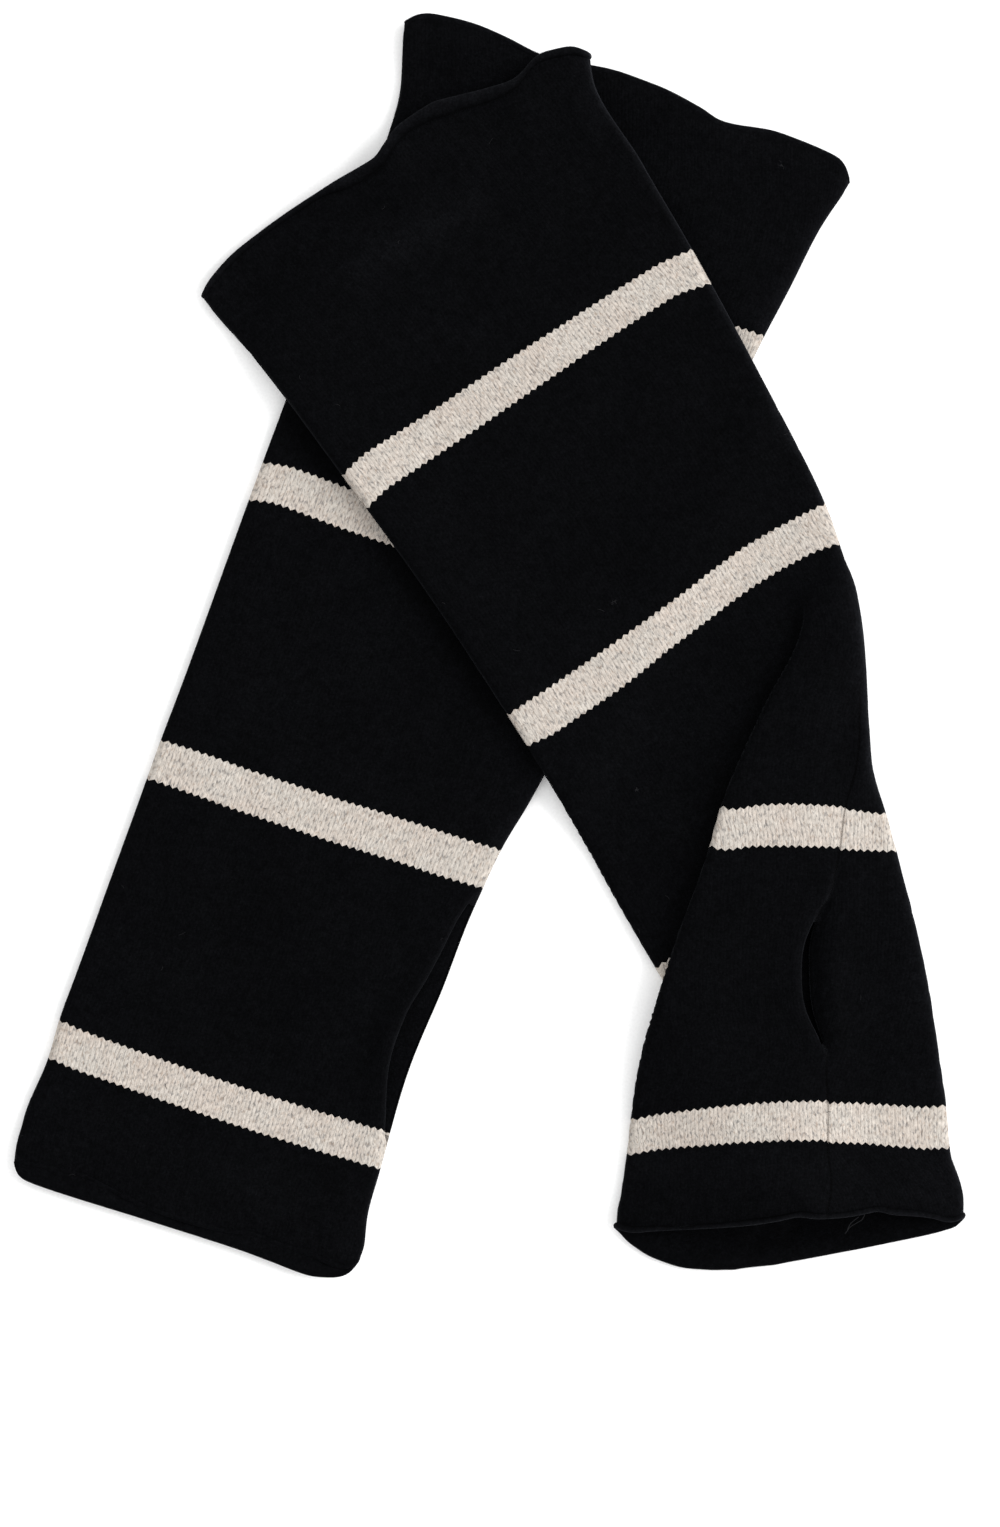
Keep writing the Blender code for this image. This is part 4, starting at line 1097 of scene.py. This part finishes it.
def oatmeal_yarn(n, place, across, along, mottle, stitch, relief):
    """The stripes' heather: soft streaks along the stitches, with grey and brown flecks."""
    across, along = n.math("MULTIPLY", across, STREAKS_ACROSS), n.math("MULTIPLY", along, STREAKS_ALONG)
    streaks = n.noise(n.vector(across, along, 0.0), 1.0, STREAK_DETAIL, ROUGH)
    cloud = n.remap(n.noise(place, CLOUD_SCALE), *CLOUD_BAND)
    cream = n.mix(cloud, OATMEAL, OATMEAL_WARM)
    for fleck in FLECKS:
        spots = n.noise(n.vector(across, along, fleck.layer), 1.0, roughness=ROUGH)
        share = n.math("MULTIPLY", n.remap(spots, fleck.starts, fleck.full), fleck.strength)
        cream = n.mix(share, cream, fleck.colour)
    cream = n.toned(cream, OATMEAL_TONES, streaks=streaks, mottle=mottle, stitch=stitch, relief=relief)
    return cream, streaks


def charcoal_yarn(n, place, fuzz, mottle, stitch, relief):
    """The ground: nearly black, soft and a little mottled, with lighter fibres about on it."""
    fine = n.noise(place, FINE_FUZZ_SCALE, roughness=ROUGH)
    fibres = n.math("MULTIPLY", n.remap(fine, *FIBRE_BAND), FIBRE_STRENGTH)
    dark = n.mix(fibres, CHARCOAL, CHARCOAL_FIBRE)
    values = {"fuzz": fuzz, "mottle": mottle, "patches": n.noise(place, PATCH_SCALE)}
    return n.toned(dark, CHARCOAL_TONES, **values, stitch=stitch, relief=relief)


def knit_material(name, glove, stitch):
    """A fine knit with cream stripes, drawn from the stitch coordinates."""
    n = Nodes(name)
    across, along = stitch_places(n)
    height, course, leg, slanted = stitch(n, across, along)
    course_on = n.math("SUBTRACT", course, first_course(glove))
    from_stripe = n.math("FLOORED_MODULO", course_on, float(STRIPE_PITCH))
    in_stripe = n.math("LESS_THAN", from_stripe, STRIPE_COURSES - 0.5)

    place = n.place()
    fuzz, mottle = n.noise(place, FUZZ_SCALE, roughness=ROUGH), n.noise(place, MOTTLE_SCALE)
    tone = n.made("ShaderNodeTexWhiteNoise", {"Vector": n.vector(leg, course, TONE_LAYER)}, "Value")
    cream, streaks = oatmeal_yarn(n, place, across, slanted, mottle, tone, height)
    # The carried painted light and nap scale the charcoal's colour, and with it the sheen
    nap_and_light_scale = n.math("ADD", n.carried(NAP_AND_LIGHT_ATTRIBUTE), 1.0)
    dark = n.scaled(charcoal_yarn(n, place, fuzz, mottle, tone, height), nap_and_light_scale)

    thread = n.remap(n.math("ABSOLUTE", n.carried(SEAM_DISTANCE)), 0.0, SEAM_LINE, 1.0, 0.0)
    stitched = n.remap(n.math("FRACT", along), 0.0, 1.0, SEAM_FAINTEST, 1.0)
    thread = n.math("MULTIPLY", thread, stitched)
    thread = n.math("MULTIPLY", thread, n.remap(in_stripe, 0.0, 1.0, 1.0, CREAM_SEAM))

    relief = n.math("MULTIPLY", height, n.remap(in_stripe, 0.0, 1.0, DARK_RELIEF, CREAM_RELIEF))
    relief = n.math("MULTIPLY_ADD", fuzz, FUZZ_RELIEF, relief)
    relief = n.math("MULTIPLY_ADD", streaks, FIBRE_RELIEF, relief)
    bump = {"Strength": 1.0, "Distance": STITCH_DEPTH * MM, "Height": relief}
    return n.shaded({
        "Base Color": n.mix(thread, n.mix(in_stripe, dark, cream), SEAM_TINT, "MULTIPLY"),
        "Normal": n.made("ShaderNodeBump", bump),
        "Metallic": 0.0,
        "Roughness": KNIT_ROUGHNESS,
        "Specular IOR Level": SPECULAR,
        "Sheen Weight": n.math("MULTIPLY", nap_and_light_scale, SHEEN),
        "Sheen Roughness": SHEEN_ROUGHNESS,
        "Sheen Tint": SHEEN_TINT,
    })


def plain_material(name, colour):
    """A matt surface with a faint grain."""
    n = Nodes(name)
    colour = n.toned(colour[:3], PLAIN_TONES, grain=n.noise(n.place(), FUZZ_SCALE))
    return n.shaded({"Base Color": colour, "Roughness": MATT, "Specular IOR Level": SPECULAR})


def on_table(column, row, height):
    """A pixel of the photo as a point in metres, at a height in millimetres."""
    x = (column - ORIGIN_COLUMN) * PIXEL
    y = (ORIGIN_ROW - row) * PIXEL
    return Vector((x, y, height)) * MM


def tube(path, radius):
    """A thin closed tube along a path, drawn in to a blunt tip at both ends: points and faces."""
    path = np.array(path)
    ahead = unit(np.gradient(path, axis=0))
    side = unit(np.cross(ahead, np.array(OFF_STRANDS)))
    over = np.cross(side, ahead)
    widths = np.full((len(path), 1), radius)
    widths[[0, -1]] *= TIP_SHARE
    turns = 2.0 * math.pi * np.arange(TUBE_SIDES) / TUBE_SIDES
    rings = [path + widths * (math.cos(turn) * side + math.sin(turn) * over) for turn in turns]
    points = np.stack(rings, axis=1).reshape(-1, 3)
    numbers = np.arange(len(points)).reshape(-1, TUBE_SIDES)
    following = np.roll(numbers, -1, axis=1)
    walls = np.stack((numbers[:-1], following[:-1], following[1:], numbers[1:]), axis=2)
    return points, [*walls.reshape(-1, 4).tolist(), numbers[0, ::-1].tolist(), numbers[-1].tolist()]


def tubes_object(name, tubes, material):
    """One object of several closed tubes, which rides with the gloves."""
    points, faces = [], []
    for tube_points, tube_faces in tubes:
        faces += [[len(points) + number for number in face] for face in tube_faces]
        points += tube_points.tolist()
    strands = mesh_object(name, points, faces, [material])
    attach(strands, "root")
    return strands


def add_thread():
    """The loose end of yarn that hangs in the upper glove's mouth."""
    strands = []
    for strand in THREAD_STRANDS:
        corners = [(i, *on_table(*point)) for i, point in enumerate(strand)]
        path = curve_through(corners)(np.linspace(0.0, len(corners) - 1.0, THREAD_STEPS * len(corners)))
        strands.append(tube(path, THREAD_RADIUS * MM))
    return tubes_object("loose_thread", strands, plain_material("thread_wool", THREAD_COLOUR))


def fibre_on(tree, random, x, y, length):
    """A curved fibre that lies on the cloth at a point of the table."""
    heading, bend = random.uniform(0.0, 2.0 * math.pi), random.uniform(-FIBRE_BEND, FIBRE_BEND)
    path = []
    for step in np.linspace(-0.5, 0.5, FIBRE_POINTS):
        turn = heading + bend * step
        spot = (x + length * step * math.cos(turn), y + length * step * math.sin(turn), WELL_ABOVE)
        hit = tree.ray_cast(spot, (0.0, 0.0, -1.0))[0]
        if hit is None:
            return None
        path.append((hit.x, hit.y, hit.z + FIBRE_RADIUS * MM))
    return tube(path, FIBRE_RADIUS * MM)


def add_lint(name, shell):
    """Lint on a glove: small tangles of fibres where the photo shows them, and single ones."""
    random = np.random.default_rng(LINT_SEEDS[shell.glove.name])
    points = shell.grid.reshape(-1, 3)
    spots = []
    for column, row in LINT_SPECKS[shell.glove.name]:
        centre = on_table(column, row, 0.0)
        spread = random.normal(0.0, SPECK_SIZE / 3.0, (SPECK_FIBRES, 2)) * MM
        spots += [(centre.x + dx, centre.y + dy, SPECK_SIZE) for dx, dy in spread]
    for number in random.integers(0, len(points), STREWN_FIBRES):
        spots.append((points[number, 0] * MM, points[number, 1] * MM, random.uniform(*STREWN_LENGTH)))
    fibres = [fibre_on(shell.tree, random, x, y, length * MM) for x, y, length in spots]
    fibres = [fibre for fibre in fibres if fibre is not None]
    return tubes_object(name, fibres, plain_material(name + "_fibre", LINT_COLOUR))


def add_stage():
    """The table top under the gloves."""
    bpy.ops.mesh.primitive_plane_add(size=FLOOR_SIZE, location=(0.0, 0.0, -FLOOR_DROP))
    floor = bpy.context.active_object
    floor.name = "floor"
    floor.data.materials.append(plain_material("floor_white", FLOOR_WHITE))


def add_camera():
    """A long lens straight above, with the photo's frame."""
    data = bpy.data.cameras.new("camera")
    camera = linked("camera", data)
    middle = on_table(PHOTO_WIDTH / 2.0, PHOTO_HEIGHT / 2.0, 0.0)
    camera.location = (middle.x, middle.y, CAMERA_HEIGHT)
    data.sensor_fit = "VERTICAL"
    data.sensor_height = SENSOR
    data.lens = SENSOR * CAMERA_HEIGHT / (PHOTO_HEIGHT * PIXEL * MM)
    data.clip_end = SEES_AS_FAR_AS
    bpy.context.scene.camera = camera


def add_lights():
    """A broad soft key from the upper right and an even fill all round."""
    key = bpy.data.lights.new("key", "SUN")
    key.energy = KEY_STRENGTH
    key.angle = KEY_SPREAD
    linked("key", key).rotation_euler = Vector(KEY_FROM).to_track_quat("Z", "Y").to_euler()
    world = bpy.data.worlds.new("studio")
    world.use_nodes = True
    fill = world.node_tree.nodes["Background"].inputs
    fill["Color"].default_value = FILL_WHITE
    fill["Strength"].default_value = FILL_STRENGTH
    bpy.context.scene.world = world
    bpy.context.scene.view_settings.view_transform = "Standard"


def add_gloves():
    """Both gloves' shells, each in the place of its solid, with the lint and thread on them."""
    lower, upper = lower_glove(), upper_glove()
    for node, glove, ring_at, rests_on in (
        ("lower_glove", lower, partial(lower_ring, lower), ("floor",)),
        ("upper_glove", upper, partial(upper_ring, upper, lower), ("lower_glove", "floor")),
    ):
        face = knit_material(node + "_face", glove, face_stitch)
        back = knit_material(node + "_back", glove, back_stitch)
        shell = Shell(glove, ring_at)
        cloth = shell.build(node + "_knit", (face, back))
        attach(cloth, "root")
        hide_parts(node)
        extras = [add_lint(node + "_lint", shell)]
        if glove is upper:
            extras.append(add_thread())


add_stage()
add_camera()
add_lights()
add_gloves()
